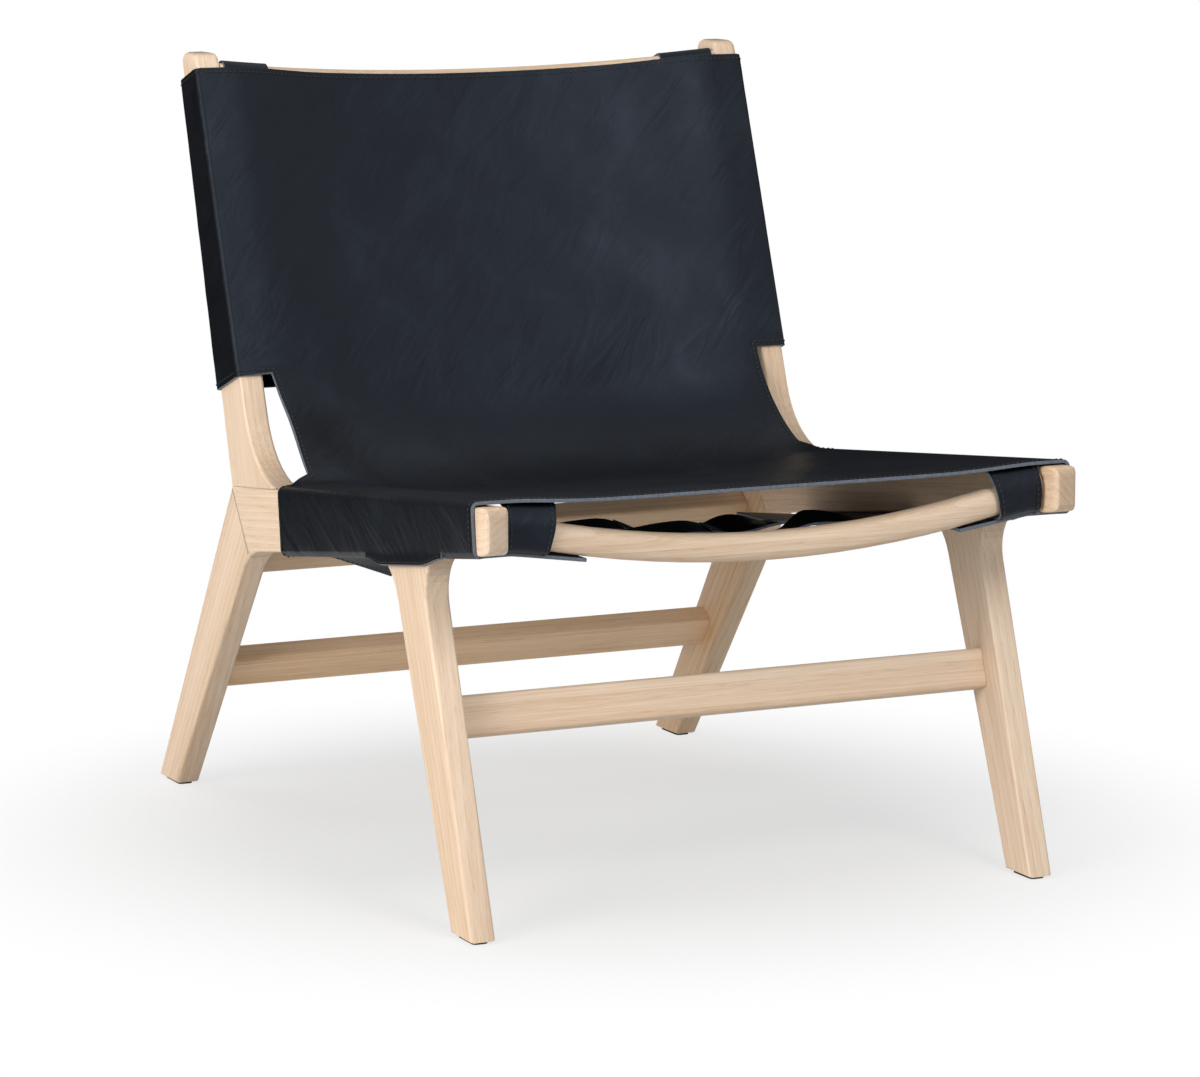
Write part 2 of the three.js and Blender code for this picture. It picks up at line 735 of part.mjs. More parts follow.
// Levels of the strap layers, outwards from the flap, with the heel bar at the origin of X.
const barRadius = buckleBar / 2;
const foldRadius = barRadius + 0.4 + strapThickness / 2;
const layer = strapThickness + gap;
const levelOne = gap + strapThickness / 2;
const barLevel = levelOne + foldRadius;
const lapEnd = innerX - flapReach + strapInset + strapLap;

function buckleEnd(heelX) {
  const path = new THREE.Path();
  path.moveTo(-lapEnd - heelX, levelOne);
  path.lineTo(0, levelOne);
  path.absarc(0, barLevel, foldRadius, -Math.PI / 2, Math.PI / 2, false);
  const back = levelOne + layer;
  path.bezierCurveTo(-foldNeck / 2, barLevel + foldRadius, -foldNeck / 2, back, -foldNeck, back);
  path.lineTo(-strapFold, back);
  return strapSolid(path, 4).subtract(slot(-foldSlot, foldRadius + strapThickness));
}

function tailEnd(heelX) {
  const high = barLevel + foldRadius + layer;
  const low = levelOne + 2 * layer;
  const path = new THREE.Path();
  path.moveTo(lapEnd - heelX, levelOne);
  const outerBar = buckleLength - buckleBar;
  const climb = (outerBar + tailCrest) / 2;
  const drop = tailCrest + foldNeck / 2;
  path.lineTo(outerBar, levelOne);
  path.bezierCurveTo(climb, levelOne, climb, high, tailCrest, high);
  path.lineTo(-tailCrest, high);
  path.bezierCurveTo(-drop, high, -drop, low, -tailCrest - foldNeck, low);
  path.lineTo(-strapTail, low);
  return strapSolid(path, 6).subtract(slot(-tailCrest, outerBar));
}

function buckleFrame() {
  const inside = strapWidth + 2 * buckleSideGap;
  const shape = rectangle(buckleLength + buckleBar, inside + 2 * buckleBar, 4);
  shape.holes.push(rectangle(buckleLength - buckleBar, inside, 1.2));
  const bevel = 0.8;
  const geometry = new THREE.ExtrudeGeometry(shape, {
    depth: buckleBar - 2 * bevel,
    bevelThickness: bevel,
    bevelSize: bevel,
    bevelOffset: -bevel,
    bevelSegments: 1,
    curveSegments: 2,
  });
  return geometry.translate(buckleLength / 2, 0, bevel - buckleBar / 2);
}

// The prong turns on the heel bar and its tip rests on the outer bar.
function prong() {
  const bore = barRadius + 0.4;
  const eye = bore + prongThickness;
  const tip = buckleLength + prongOverhang;
  const shape = new THREE.Shape();
  shape.moveTo(tip, bore);
  shape.lineTo(tip - 2, eye);
  shape.lineTo(0, eye);
  shape.absarc(0, 0, eye, Math.PI / 2, 2 * Math.PI + Math.asin(bore / eye), false);
  shape.closePath();
  shape.holes.push(new THREE.Path().absarc(0, 0, bore, 0, 2 * Math.PI, true));
  const geometry = new THREE.ExtrudeGeometry(shape, { depth: prongWidth, bevelEnabled: false, curveSegments: 7 });
  return geometry.rotateX(Math.PI / 2).translate(0, prongWidth / 2, 0);
}

function keeper() {
  const inside = 3 * layer + gap;
  const ring = rectangle(strapWidth + 1 + 2 * keeperThickness, inside + 2 * keeperThickness, 2.5);
  ring.holes.push(rectangle(strapWidth + 1, inside, 0.6));
  const geometry = extrudeSide(ring, keeperWidth, { curve: 1 });
  return geometry.translate(-keeperOffset, 0, inside / 2);
}

function buckledStrap(name, [y, z], turn, heelX) {
  const group = new THREE.Group();
  const pin = piece(`${name}_prong`, prong(), bronze);
  const frame = piece(`${name}_buckle`, buckleFrame(), bronze);
  pin.position.z = barLevel;
  frame.position.z = barLevel;
  group.add(pin, frame);
  group.add(piece(`${name}_buckle_end`, shell(buckleEnd(heelX)), blackHide));
  group.add(piece(`${name}_tail`, shell(tailEnd(heelX)), blackHide));
  group.add(piece(`${name}_keeper`, keeper(), blackHide));
  group.position.set(heelX, y, z);
  group.rotation.x = turn;
  return group;
}

const underFlap = shifted(railBottom, -gap - hide);
const behindFlap = shifted(postRear, -gap - hide);
const underTurn = Math.PI - railBottomFall;
const behindTurn = -Math.PI / 2 - postRearLean;
const frontStrapY = railFront + frontStrapSetback;
const rearStrapY = elbowY - rearStrapBeforeElbow;
const lowerStrapZ = elbow[1] + lowerStrapAboveElbow;
const upperStrapZ = postHeight - upperStrapBelowTop;
const frontStrap = [frontStrapY, atY(underFlap, frontStrapY)];
const rearStrap = [rearStrapY, atY(underFlap, rearStrapY)];
const lowerStrap = [atZ(behindFlap, lowerStrapZ), lowerStrapZ];
const upperStrap = [atZ(behindFlap, upperStrapZ), upperStrapZ];
chair.add(buckledStrap('front_strap', frontStrap, underTurn, frontBuckleX));
chair.add(buckledStrap('rear_strap', rearStrap, underTurn, rearBuckleX));
chair.add(buckledStrap('lower_back_strap', lowerStrap, behindTurn, backBuckleX));
chair.add(buckledStrap('upper_back_strap', upperStrap, behindTurn, backBuckleX));

// The origin lies under the middle of the chair's depth.
chair.position.y = -(railFront + atZ(rearLegRear, footCut)) / 2;

export default chair;
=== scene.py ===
import bpy
import bmesh
import math
import random
from mathutils import Matrix, Vector, noise


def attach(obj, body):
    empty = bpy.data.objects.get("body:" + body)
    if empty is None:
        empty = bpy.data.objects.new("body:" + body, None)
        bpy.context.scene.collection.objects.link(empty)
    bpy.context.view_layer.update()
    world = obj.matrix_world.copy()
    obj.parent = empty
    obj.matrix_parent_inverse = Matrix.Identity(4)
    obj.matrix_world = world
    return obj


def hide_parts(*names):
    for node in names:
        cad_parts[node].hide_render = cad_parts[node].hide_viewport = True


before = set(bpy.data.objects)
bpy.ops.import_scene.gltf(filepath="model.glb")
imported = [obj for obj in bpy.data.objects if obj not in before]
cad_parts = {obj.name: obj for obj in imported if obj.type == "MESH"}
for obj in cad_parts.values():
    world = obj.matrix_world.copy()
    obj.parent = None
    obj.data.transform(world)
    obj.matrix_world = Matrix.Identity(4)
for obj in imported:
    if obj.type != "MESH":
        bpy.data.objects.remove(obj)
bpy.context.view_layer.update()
bodyName = "chair"
mm = 0.001
random.seed(7)
print("frame loaded:", len(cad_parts), "nodes")


# sRGB hex to linear, the one place colours are converted
def linear(code, alpha=1.0):
    parts = [int(code[i:i + 2], 16) / 255 for i in (1, 3, 5)]
    return [c / 12.92 if c <= 0.04045 else ((c + 0.055) / 1.055) ** 2.4 for c in parts] + [alpha]


# adds a node, sets its properties and sockets, and links what is given as (node, output)
def put(tree, kind, settings=None, **sockets):
    made = tree.nodes.new(kind)
    for name, value in (settings or {}).items():
        setattr(made, name, value)
    for name, value in sockets.items():
        key = int(name[1:]) if name[0] == "i" and name[1:].isdigit() else name.replace("_", " ")
        if isinstance(value, tuple) and len(value) == 2 and isinstance(value[0], bpy.types.Node):
            tree.links.new(value[0].outputs[value[1]], made.inputs[key])
        else:
            made.inputs[key].default_value = value
    return made


def startMaterial(name):
    material = bpy.data.materials.new(name)
    material.use_nodes = True
    material.node_tree.nodes.clear()
    return material, material.node_tree


# colour ramp stops as (place, hex)
def setStops(ramp, stops):
    band = ramp.color_ramp
    while len(band.elements) > len(stops):
        band.elements.remove(band.elements[-1])
    while len(band.elements) < len(stops):
        band.elements.new(1.0)
    for element, (place, code) in zip(band.elements, stops):
        element.position = place
        element.color = linear(code)
    return ramp


def addObject(name, data):
    made = bpy.data.objects.new(name, data)
    bpy.context.scene.collection.objects.link(made)
    return made


def keepMesh(name, work):
    mesh = bpy.data.meshes.new(name)
    work.to_mesh(mesh)
    work.free()
    return mesh


# cuts all faces at a plane
def cutAt(work, at, aim, **more):
    everything = work.verts[:] + work.edges[:] + work.faces[:]
    bmesh.ops.bisect_plane(work, geom=everything, dist=1e-6, plane_co=at, plane_no=aim, **more)


def smoothFaces(mesh):
    mesh.polygons.foreach_set("use_smooth", [True] * len(mesh.polygons))


def clamped(t):
    return min(max(t, 0.0), 1.0)


def ease(t):
    t = clamped(t)
    return t * t * (3 - 2 * t)


def mixed(a, b, t):
    return a + (b - a) * t


# height of an arc over its centre
def rise(radius, x):
    return math.sqrt(radius ** 2 - x ** 2)


# camera where the photograph was taken from: metres, degrees, and the photograph's pixels for focal and width
cameraSet = {"azimuth": -25.7, "elevation": 9.2, "distance": 4.4285, "target": (-0.0053, -0.037, 0.2966),
             "focal": 4536.5, "width": 1200, "sensor": 36}


def makeCamera(spec):
    azimuth, elevation = math.radians(spec["azimuth"]), math.radians(spec["elevation"])
    back = Vector((math.sin(azimuth) * math.cos(elevation), -math.cos(azimuth) * math.cos(elevation),
                   math.sin(elevation)))
    camera = addObject("photoCamera", bpy.data.cameras.new("photoCamera"))
    camera.location = Vector(spec["target"]) + back * spec["distance"]
    camera.rotation_mode = "QUATERNION"
    camera.rotation_quaternion = (-back).to_track_quat("-Z", "Y")
    camera.data.lens = spec["focal"] / spec["width"] * spec["sensor"]
    camera.data.sensor_width = spec["sensor"]
    camera.data.clip_end = 100
    bpy.context.scene.camera = camera


makeCamera(cameraSet)
print("camera set")

# pale ash, planed and matt lacquered: straight grain, faint rings, short open pores; sizes in mm
ash = {"light": "#ecd8c2", "mid": "#e1c8ae", "late": "#d0b08f", "pore": "#b08f72",
       "ringSpacing": 6.5, "ringStretch": 0.05, "fibreWidth": 1.3, "fibreLength": 90, "poreWidth": 1.0,
       "poreLength": 22, "ringWeight": 0.2, "fibreWeight": 1.1, "poreWeight": 0.55}
# distance from ring to ring in a wave texture of scale 1
waveSpacing = 0.314


def makeAsh(name, spec, brightness, warmth):
    material, tree = startMaterial(name)
    grain = put(tree, "ShaderNodeAttribute", {"attribute_name": "grain"})
    slow = put(tree, "ShaderNodeMapping", None, Vector=(grain, "Vector"), Scale=(spec["ringStretch"], 1, 1))
    # growth rings round a pith that lies outside the board
    rings = put(tree, "ShaderNodeTexWave",
                {"wave_type": "RINGS", "rings_direction": "X", "wave_profile": "SAW"},
                Vector=(slow, "Vector"), Scale=waveSpacing / (spec["ringSpacing"] * mm), Distortion=2.2,
                Detail=2.0, Detail_Scale=0.6, Detail_Roughness=0.5)
    fibreLong, fibreFine = 1 / (spec["fibreLength"] * mm), 1 / (spec["fibreWidth"] * mm)
    fibreMap = put(tree, "ShaderNodeMapping", None, Vector=(grain, "Vector"),
                   Scale=(fibreLong, fibreFine, fibreFine))
    fibre = put(tree, "ShaderNodeTexNoise", None, Vector=(fibreMap, "Vector"), Scale=1.0, Detail=4.0,
                Roughness=0.62)
    # real pores are 0.3 mm wide: drawn wider so that they show
    poreLong, poreFine = 1 / (spec["poreLength"] * mm), 1 / (spec["poreWidth"] * mm)
    poreMap = put(tree, "ShaderNodeMapping", None, Vector=(grain, "Vector"),
                  Scale=(poreLong, poreFine, poreFine))
    pore = put(tree, "ShaderNodeTexNoise", None, Vector=(poreMap, "Vector"), Scale=1.0, Detail=2.0,
               Roughness=0.5)
    poreCut = put(tree, "ShaderNodeMapRange", None, Value=(pore, "Fac"), From_Min=0.56, From_Max=0.74)
    poreInLate = put(tree, "ShaderNodeMath", {"operation": "MULTIPLY"}, i0=(poreCut, "Result"),
                     i1=(rings, "Fac"))
    cloud = put(tree, "ShaderNodeTexNoise", None, Vector=(slow, "Vector"), Scale=22.0, Detail=2.0)
    ringed = put(tree, "ShaderNodeMath", {"operation": "MULTIPLY_ADD"}, i0=(rings, "Fac"),
                 i1=spec["ringWeight"], i2=(cloud, "Fac"))
    fibrous = put(tree, "ShaderNodeMath", {"operation": "MULTIPLY_ADD"}, i0=(fibre, "Fac"),
                  i1=spec["fibreWeight"], i2=(ringed, "Value"))
    level = put(tree, "ShaderNodeMapRange", None, Value=(fibrous, "Value"), From_Min=0.77, From_Max=1.53)
    colour = setStops(put(tree, "ShaderNodeValToRGB", None, Fac=(level, "Result")),
                      [(0.0, spec["light"]), (0.5, spec["mid"]), (1.0, spec["late"])])
    poreMix = put(tree, "ShaderNodeMath", {"operation": "MULTIPLY"}, i0=(poreInLate, "Value"),
                  i1=spec["poreWeight"])
    withPores = put(tree, "ShaderNodeMix", {"data_type": "RGBA"}, i0=(poreMix, "Value"), i6=(colour, "Color"),
                    i7=linear(spec["pore"]))
    # painted light and shade: each board's brightness times its darker end grain, and a warmer tone on boards
    # in shade
    board = put(tree, "ShaderNodeAttribute", {"attribute_name": "boardShade"})
    shade = put(tree, "ShaderNodeMath", {"operation": "MULTIPLY"}, i0=(board, "Fac"), i1=brightness)
    warm = put(tree, "ShaderNodeAttribute", {"attribute_name": "boardWarmth"})
    deeper = put(tree, "ShaderNodeMath", {"operation": "MULTIPLY"}, i0=(warm, "Fac"), i1=warmth)
    toned = put(tree, "ShaderNodeHueSaturation", None, Saturation=(deeper, "Value"), Value=(shade, "Value"),
                Color=(withPores, 2))
    rough = put(tree, "ShaderNodeMapRange", None, Value=(fibre, "Fac"), From_Min=0.3, From_Max=0.7,
                To_Min=0.5, To_Max=0.62)
    relief = put(tree, "ShaderNodeMath", {"operation": "SUBTRACT"}, i0=(fibre, "Fac"),
                 i1=(poreInLate, "Value"))
    bump = put(tree, "ShaderNodeBump", None, Strength=0.18, Distance=0.4 * mm, Height=(relief, "Value"))
    shader = put(tree, "ShaderNodeBsdfPrincipled", None, Base_Color=(toned, "Color"),
                 Roughness=(rough, "Result"), Normal=(bump, "Normal"), IOR=1.5)
    put(tree, "ShaderNodeOutputMaterial", None, Surface=(shader, "BSDF"))
    return material


ashWood = makeAsh("paleAsh", ash, brightness=1.0, warmth=1.0)
# beech dowels: the same straight grain, browner and warmer
dowelWood = makeAsh("beechDowel", ash, brightness=0.85, warmth=1.1)

# grain runs along each member: degrees from the vertical in the side view, or across the chair
lean = {"front_leg": 20.3, "rear_leg": -35.5, "side_rail": 97.1, "back_post": 18.1}
acrossPieces = ["front_seat_rail", "rear_seat_rail", "top_back_rail", "front_stretcher", "rear_stretcher"]
acrossSide = (0, 0.94, 0.34)
# painted light and shade, board by board: brightness lower on the front bar and higher on the rear stretcher
# as the light falls, and a warmer tone on boards in shade for painted bounce light; then limits of each
# board's place in the tree, in metres
paintedBoardLight = {"front_seat_rail": (0.9, 1.0), "front_stretcher": (0.98, 1.0), "rear_stretcher": (1.24, 1.2),
             "rear_seat_rail": (1.0, 1.18), "right_rear_leg": (0.96, 1.18), "right_side_rail": (1.0, 1.1)}
plainTone = (1.0, 1.0)
boardPlace = ((-2, 2), (0.05, 0.09), (-0.03, 0.03))
# end grain drinks the oil and darkens; from and over are cosines between a face and the grain
endGrain = {"dark": 0.34, "from": 0.5, "over": 0.4}


# stores coordinates along and across the grain, with a board of its own for each piece
def layGrain(mesh, direction, side, shift, tone=plainTone):
    along = Vector(direction).normalized()
    across = Vector(side)
    third = along.cross(across)
    data = mesh.attributes.new("grain", "FLOAT_VECTOR", "POINT")
    for point, vert in zip(data.data, mesh.vertices):
        point.vector = [vert.co.dot(axis) + start for axis, start in zip((along, across, third), shift)]
    # painted light and shade of the board, times the darker end grain
    shade = mesh.attributes.new("boardShade", "FLOAT", "FACE")
    for value, polygon in zip(shade.data, mesh.polygons):
        turned = clamped((abs(polygon.normal.dot(along)) - endGrain["from"]) / endGrain["over"])
        value.value = tone[0] * (1 - endGrain["dark"] * turned)
    # painted warmth of bounce light on boards in shade
    warmth = mesh.attributes.new("boardWarmth", "FLOAT", "FACE")
    for value in warmth.data:
        value.value = tone[1]


# a node's mesh without its material, with corners that meet joined
def copyNode(name, joinAt=1e-5):
    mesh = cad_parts[name].data.copy()
    work = bmesh.new()
    work.from_mesh(mesh)
    bmesh.ops.remove_doubles(work, verts=work.verts, dist=joinAt)
    work.to_mesh(mesh)
    work.free()
    mesh.materials.clear()
    return mesh


def makePiece(name, mesh, material, replaced=(), body=bodyName):
    mesh.name = name
    piece = addObject(name, mesh)
    if material:
        mesh.materials.append(material)
    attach(piece, body)
    if replaced:
        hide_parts(*replaced)
    return piece


def smoothShade(piece, angle):
    smoothFaces(piece.data)
    piece.data.set_sharp_from_angle(angle=math.radians(angle))
    keep = piece.modifiers.new("faceNormals", "WEIGHTED_NORMAL")
    keep.keep_sharp = True
    keep.weight = 90


# rounds a member's free end, in metres: it narrows over a length; the rail's nose also reaches past the hide
noseRound = {"side_rail": {"axis": 1, "end": -0.40995, "reach": -0.013, "length": 0.018,
                           "narrow": 0.38, "flatten": 0.15},
             "back_post": {"axis": 2, "end": 0.76, "reach": 0.0, "length": 0.011,
                           "narrow": 0.34, "flatten": 0.1}}
noseSteps = 6
noseZone = 0.0094


def roundNose(mesh, spec):
    axis, side = spec["axis"], 3 - spec["axis"]
    work = bmesh.new()
    work.from_mesh(mesh)
    for vert in work.verts:
        if abs(vert.co[axis] - spec["end"]) < noseZone:
            vert.co[axis] += spec["reach"]
    end = spec["end"] + spec["reach"]
    inward = 1 if end < 0 else -1
    aim = Vector((0, 0, 0))
    aim[axis] = 1
    for k in range(noseSteps):
        past = spec["length"] * (1 - math.cos(math.pi / 2 * (k + 1) / noseSteps))
        cutAt(work, aim * (end + inward * past), aim)
    nose = [v for v in work.verts if abs(v.co[axis] - end) < spec["length"]]
    middle = [(min(v.co[k] for v in nose) + max(v.co[k] for v in nose)) / 2 for k in range(3)]
    for vert in nose:
        curve = 1 - math.sqrt(max(0.0, 1 - (1 - abs(vert.co[axis] - end) / spec["length"]) ** 2))
        vert.co.x = mixed(vert.co.x, middle[0], spec["narrow"] * curve)
        vert.co[side] = mixed(vert.co[side], middle[side], spec["flatten"] * curve)
    work.to_mesh(mesh)
    work.free()


# the rear board stands a little deeper than its CAD solid, so that no light shows under it; in metres
rearBoard = {"centre": (0, 0.210435, 0.271937), "up": (0, -0.58035, 0.81437), "lip": 0.0035, "deeper": 0.01}


def deepenBoard(mesh, spec):
    centre, up = Vector(spec["centre"]), Vector(spec["up"])
    lowest = min((vert.co - centre).dot(up) for vert in mesh.vertices)
    for vert in mesh.vertices:
        if (vert.co - centre).dot(up) < lowest + spec["lip"]:
            vert.co -= up * spec["deeper"]


def makeWood(name, direction, side):
    mesh = copyNode(name)
    for part, spec in noseRound.items():
        if name.endswith(part):
            roundNose(mesh, spec)
    if name == "rear_seat_rail":
        deepenBoard(mesh, rearBoard)
    shift = [random.uniform(*limits) for limits in boardPlace]
    # painted light and shade for the board, where it has any
    layGrain(mesh, direction, side, shift, paintedBoardLight.get(name, plainTone))
    smoothShade(makePiece(name + "_ash", mesh, ashWood, [name]), angle=50)


for hand in ("left", "right"):
    for part, degrees in lean.items():
        turn = math.radians(degrees)
        makeWood(hand + "_" + part, (0, math.sin(turn), math.cos(turn)), (1, 0, 0))
for part in acrossPieces:
    makeWood(part, (1, 0, 0), acrossSide)
print("ash frame dressed")

# black saddle hide: fine grain, a soft sheen, cloudy lighter patches, fine creases; in mm of the flat cut
blackHide = {"deep": "#08090c", "mid": "#0c0f13", "bloom": "#161a20", "glance": "#b0bfd8",
             "grainSize": 1.5, "creaseSize": 30, "creaseTurn": -0.85, "creaseStretch": 0.3,
             "patchSize": 170, "cloudSize": 90}


def makeHide(name, spec):
    material, tree = startMaterial(name)
    flat = put(tree, "ShaderNodeUVMap", {"uv_map": "flat"})
    cloud = put(tree, "ShaderNodeTexNoise", None, Vector=(flat, "UV"), Scale=1 / (spec["cloudSize"] * mm),
                Detail=5.0, Roughness=0.6, Distortion=0.6)
    cloudCut = put(tree, "ShaderNodeMapRange", None, Value=(cloud, "Fac"), From_Min=0.38, From_Max=0.72)
    colour = setStops(put(tree, "ShaderNodeValToRGB", None, Fac=(cloudCut, "Result")),
                      [(0.0, spec["deep"]), (0.5, spec["mid"]), (1.0, spec["bloom"])])
    # real grain is under 1 mm: drawn larger so that it shows
    grain = put(tree, "ShaderNodeTexVoronoi", {"feature": "SMOOTH_F1"}, Vector=(flat, "UV"),
                Scale=1 / (spec["grainSize"] * mm), Smoothness=0.6, Randomness=1.0)
    # creases run aslant across the hide
    turned = put(tree, "ShaderNodeMapping", None, Vector=(flat, "UV"), Rotation=(0, 0, spec["creaseTurn"]))
    slant = put(tree, "ShaderNodeMapping", None, Vector=(turned, "Vector"),
                Scale=(spec["creaseStretch"], 1, 1))
    creaseScale = 1 / (spec["creaseSize"] * mm)
    crease = put(tree, "ShaderNodeTexNoise", {"noise_type": "RIDGED_MULTIFRACTAL"}, Vector=(slant, "Vector"),
                 Scale=creaseScale, Detail=3.0, Roughness=0.55, Distortion=0.8)
    creaseSoft = put(tree, "ShaderNodeTexNoise", None, Vector=(slant, "Vector"), Scale=creaseScale,
                     Detail=3.0, Roughness=0.6, Distortion=0.9)
    patch = put(tree, "ShaderNodeTexNoise", None, Vector=(flat, "UV"), Scale=1 / (spec["patchSize"] * mm),
                Detail=1.0)
    patchCut = put(tree, "ShaderNodeMapRange", None, Value=(patch, "Fac"), From_Min=0.45, From_Max=0.62,
                   To_Min=0.15)
    wrinkle = put(tree, "ShaderNodeMath", {"operation": "MULTIPLY"}, i0=(crease, "Fac"),
                  i1=(patchCut, "Result"))
    fineBump = put(tree, "ShaderNodeBump", None, Strength=0.12, Distance=0.3 * mm, Height=(grain, "Distance"))
    softBump = put(tree, "ShaderNodeBump", None, Strength=0.3, Distance=5 * mm, Height=(creaseSoft, "Fac"),
                   Normal=(fineBump, "Normal"))
    bump = put(tree, "ShaderNodeBump", {"invert": True}, Strength=0.32, Distance=1.7 * mm,
               Height=(wrinkle, "Value"), Normal=(softBump, "Normal"))
    rough = put(tree, "ShaderNodeMapRange", None, Value=(cloud, "Fac"), From_Min=0.3, From_Max=0.7,
                To_Min=0.5, To_Max=0.42)
    shader = put(tree, "ShaderNodeBsdfPrincipled", None, Base_Color=(colour, "Color"),
                 Roughness=(rough, "Result"), Normal=(bump, "Normal"), IOR=1.5, Specular_IOR_Level=0.35,
                 Specular_Tint=linear(spec["glance"]))
    put(tree, "ShaderNodeOutputMaterial", None, Surface=(shader, "BSDF"))
    return material


# a surface with a little mottling from object coordinates; size and bump in mm
def makePlain(name, dark, light, size, roughness, metallic=0.0, bump=0.0):
    material, tree = startMaterial(name)
    place = put(tree, "ShaderNodeTexCoord")
    mottle = put(tree, "ShaderNodeTexNoise", None, Vector=(place, "Object"), Scale=1 / (size * mm),
                 Detail=4.0, Roughness=0.6)
    colour = setStops(put(tree, "ShaderNodeValToRGB", None, Fac=(mottle, "Fac")), [(0.3, dark), (0.7, light)])
    shader = put(tree, "ShaderNodeBsdfPrincipled", None, Base_Color=(colour, "Color"), Roughness=roughness,
                 Metallic=metallic, IOR=1.5)
    if bump:
        relief = put(tree, "ShaderNodeBump", None, Strength=0.5, Distance=bump * mm, Height=(mottle, "Fac"))
        tree.links.new(relief.outputs["Normal"], shader.inputs["Normal"])
    put(tree, "ShaderNodeOutputMaterial", None, Surface=(shader, "BSDF"))
    return material


hideGrain = makeHide("blackSaddleHide", blackHide)
# cut edge, waxed: greyer and paler than the face
hideRaw = makePlain("waxedCutEdge", "#4b525d", "#656d79", size=4, roughness=0.55)
# waxed black thread: a faint gleam on each stitch
thread = makePlain("waxedThread", "#050608", "#090a0c", size=2, roughness=0.5)
# aged bronze: warm, worn brighter in places
bronze = makePlain("agedBronze", "#6f5a3a", "#a98a58", size=6, roughness=0.34, metallic=1.0)
# pressed felt under the feet: dark and matt
felt = makePlain("glideFelt", "#222120", "#35322f", size=2, roughness=0.95, bump=0.4)
print("materials made")

# the hide: one flat cut, folded over rails and posts; numbers in mm, stations run along the middle line
cut = {"thick": 3.5, "softEdge": 0.6, "gap": 0.3, "outer": 301.5, "easing": 3.0, "settle": 110.0,
       "edge": 270.0, "flapEdge": 190.5, "tabEdge": 262.5, "front": -436.05, "seatEnd": 23.5,
       "backStart": 176.04, "flapTop": 439.8, "top": 490.4, "rowStep": 7.5,
       "seat": (33.71, 353.67), "seatFall": 6.0, "back": (157.14, 431.25), "backLean": 19.7, "radius": 118.0,
       "railBottom": (-409.95, 357.0, -8.2), "postRear": (190.05, 336.94, 73.4),
       "legFrom": -365.8, "legTo": -190.5, "tabDrop": 13.5, "tabEnds": 7.0, "tabRound": 0.24,
       "tabFlare": 0.02, "setback": 10.0, "setbackLength": 60.0, "cornerRise": 11.5, "cornerAcross": 45.0,
       "cornerAlong": 40.0,
       "leftTaut": (26.0, 22.0, 162.0), "rightTaut": (11.0, 10.0, 160.0), "tautShape": 4}
# how deep the hide sags, and how flat the sag is at the front edge and on the seat
sag = {"front": 4.5, "seat": 14.0, "back": 22.0, "from": 52.0, "over": 150.0, "frontShape": 8, "seatShape": 3,
       "bowRadius": 864.9, "bowFull": 437.7}
# how the flaps under the seat pass below the front bar, given by its middle and bow, and hang behind it
droop = {"bar": (-387.0, 377.58, 1077.0), "barEnd": 276.5, "barDeep": 26.0, "lap": 1.0,
         "middle": 4.0, "start": -232.0, "length": 192.0,
         "left": 28.0, "right": -7.0, "cornerStart": -4.0, "cornerLength": 61.0, "cornerShape": 1.3}
# soft unevenness of seat and back, and of the sides, calmer towards the edges
sheetWave = {"height": 1.6, "size": 75, "seed": 3.1, "edgeCalm": 60, "frontCalm": 40, "topCalm": 60}
sideWave = {"height": 1.1, "size": 26, "seed": 8.7, "upCalm": 20, "lowCalm": 14, "stretch": 0.4, "bias": 0.15}
curveLength = cut["radius"] * math.radians(90 - cut["backLean"] + cut["seatFall"])
seatRun = (math.cos(math.radians(cut["seatFall"])), -math.sin(math.radians(cut["seatFall"])))
backRun = (math.sin(math.radians(cut["backLean"])), math.cos(math.radians(cut["backLean"])))
cornerRadius = cut["easing"] + cut["gap"]
cornerLength = (cornerRadius + cut["thick"] / 2) * math.pi / 2
cornerStart = cut["outer"] - cut["easing"]
sideStart = cornerStart + cornerLength


# place and face direction on the middle line; straight keeps to the wood where the hide leaves it
def spot(station, straight):
    if station <= 0 or (straight and station < curveLength):
        y, z = cut["seat"][0] + seatRun[0] * station, cut["seat"][1] + seatRun[1] * station
        return y, z, -seatRun[1], seatRun[0]
    if station >= curveLength:
        past = station - curveLength
        return cut["back"][0] + backRun[0] * past, cut["back"][1] + backRun[1] * past, -backRun[1], backRun[0]
    turn = station / cut["radius"] - math.radians(cut["seatFall"])
    ny, nz = -math.sin(turn), math.cos(turn)
    centreY = cut["seat"][0] - seatRun[1] * cut["radius"]
    centreZ = cut["seat"][1] + seatRun[0] * cut["radius"]
    return centreY - ny * cut["radius"], centreZ - nz * cut["radius"], ny, nz


# thickness of the rail or post under the hide
def woodDepth(station):
    y, z, ny, nz = spot(station, True)
    lineY, lineZ, degrees = cut["postRear"] if station > curveLength else cut["railBottom"]
    dy, dz = math.cos(math.radians(degrees)), math.sin(math.radians(degrees))
    return abs(((lineY - y) * dz - (lineZ - z) * dy) / (-ny * dz + nz * dy)) - cut["gap"]


def sagAt(station, x):
    forward = ease((station - cut["front"] - sag["from"]) / sag["over"])
    seat = mixed(sag["front"], sag["seat"], forward)
    seat *= 1 - abs(x / cut["edge"]) ** mixed(sag["frontShape"], sag["seatShape"], forward)
    lift = ease((station - curveLength) / (sag["bowFull"] - curveLength))
    arc = rise(sag["bowRadius"], x) - rise(sag["bowRadius"], cut["edge"])
    deepest = sag["bowRadius"] - rise(sag["bowRadius"], cut["edge"])
    return mixed(seat, arc * mixed(sag["back"] / deepest, 1, lift), ease(station / curveLength))


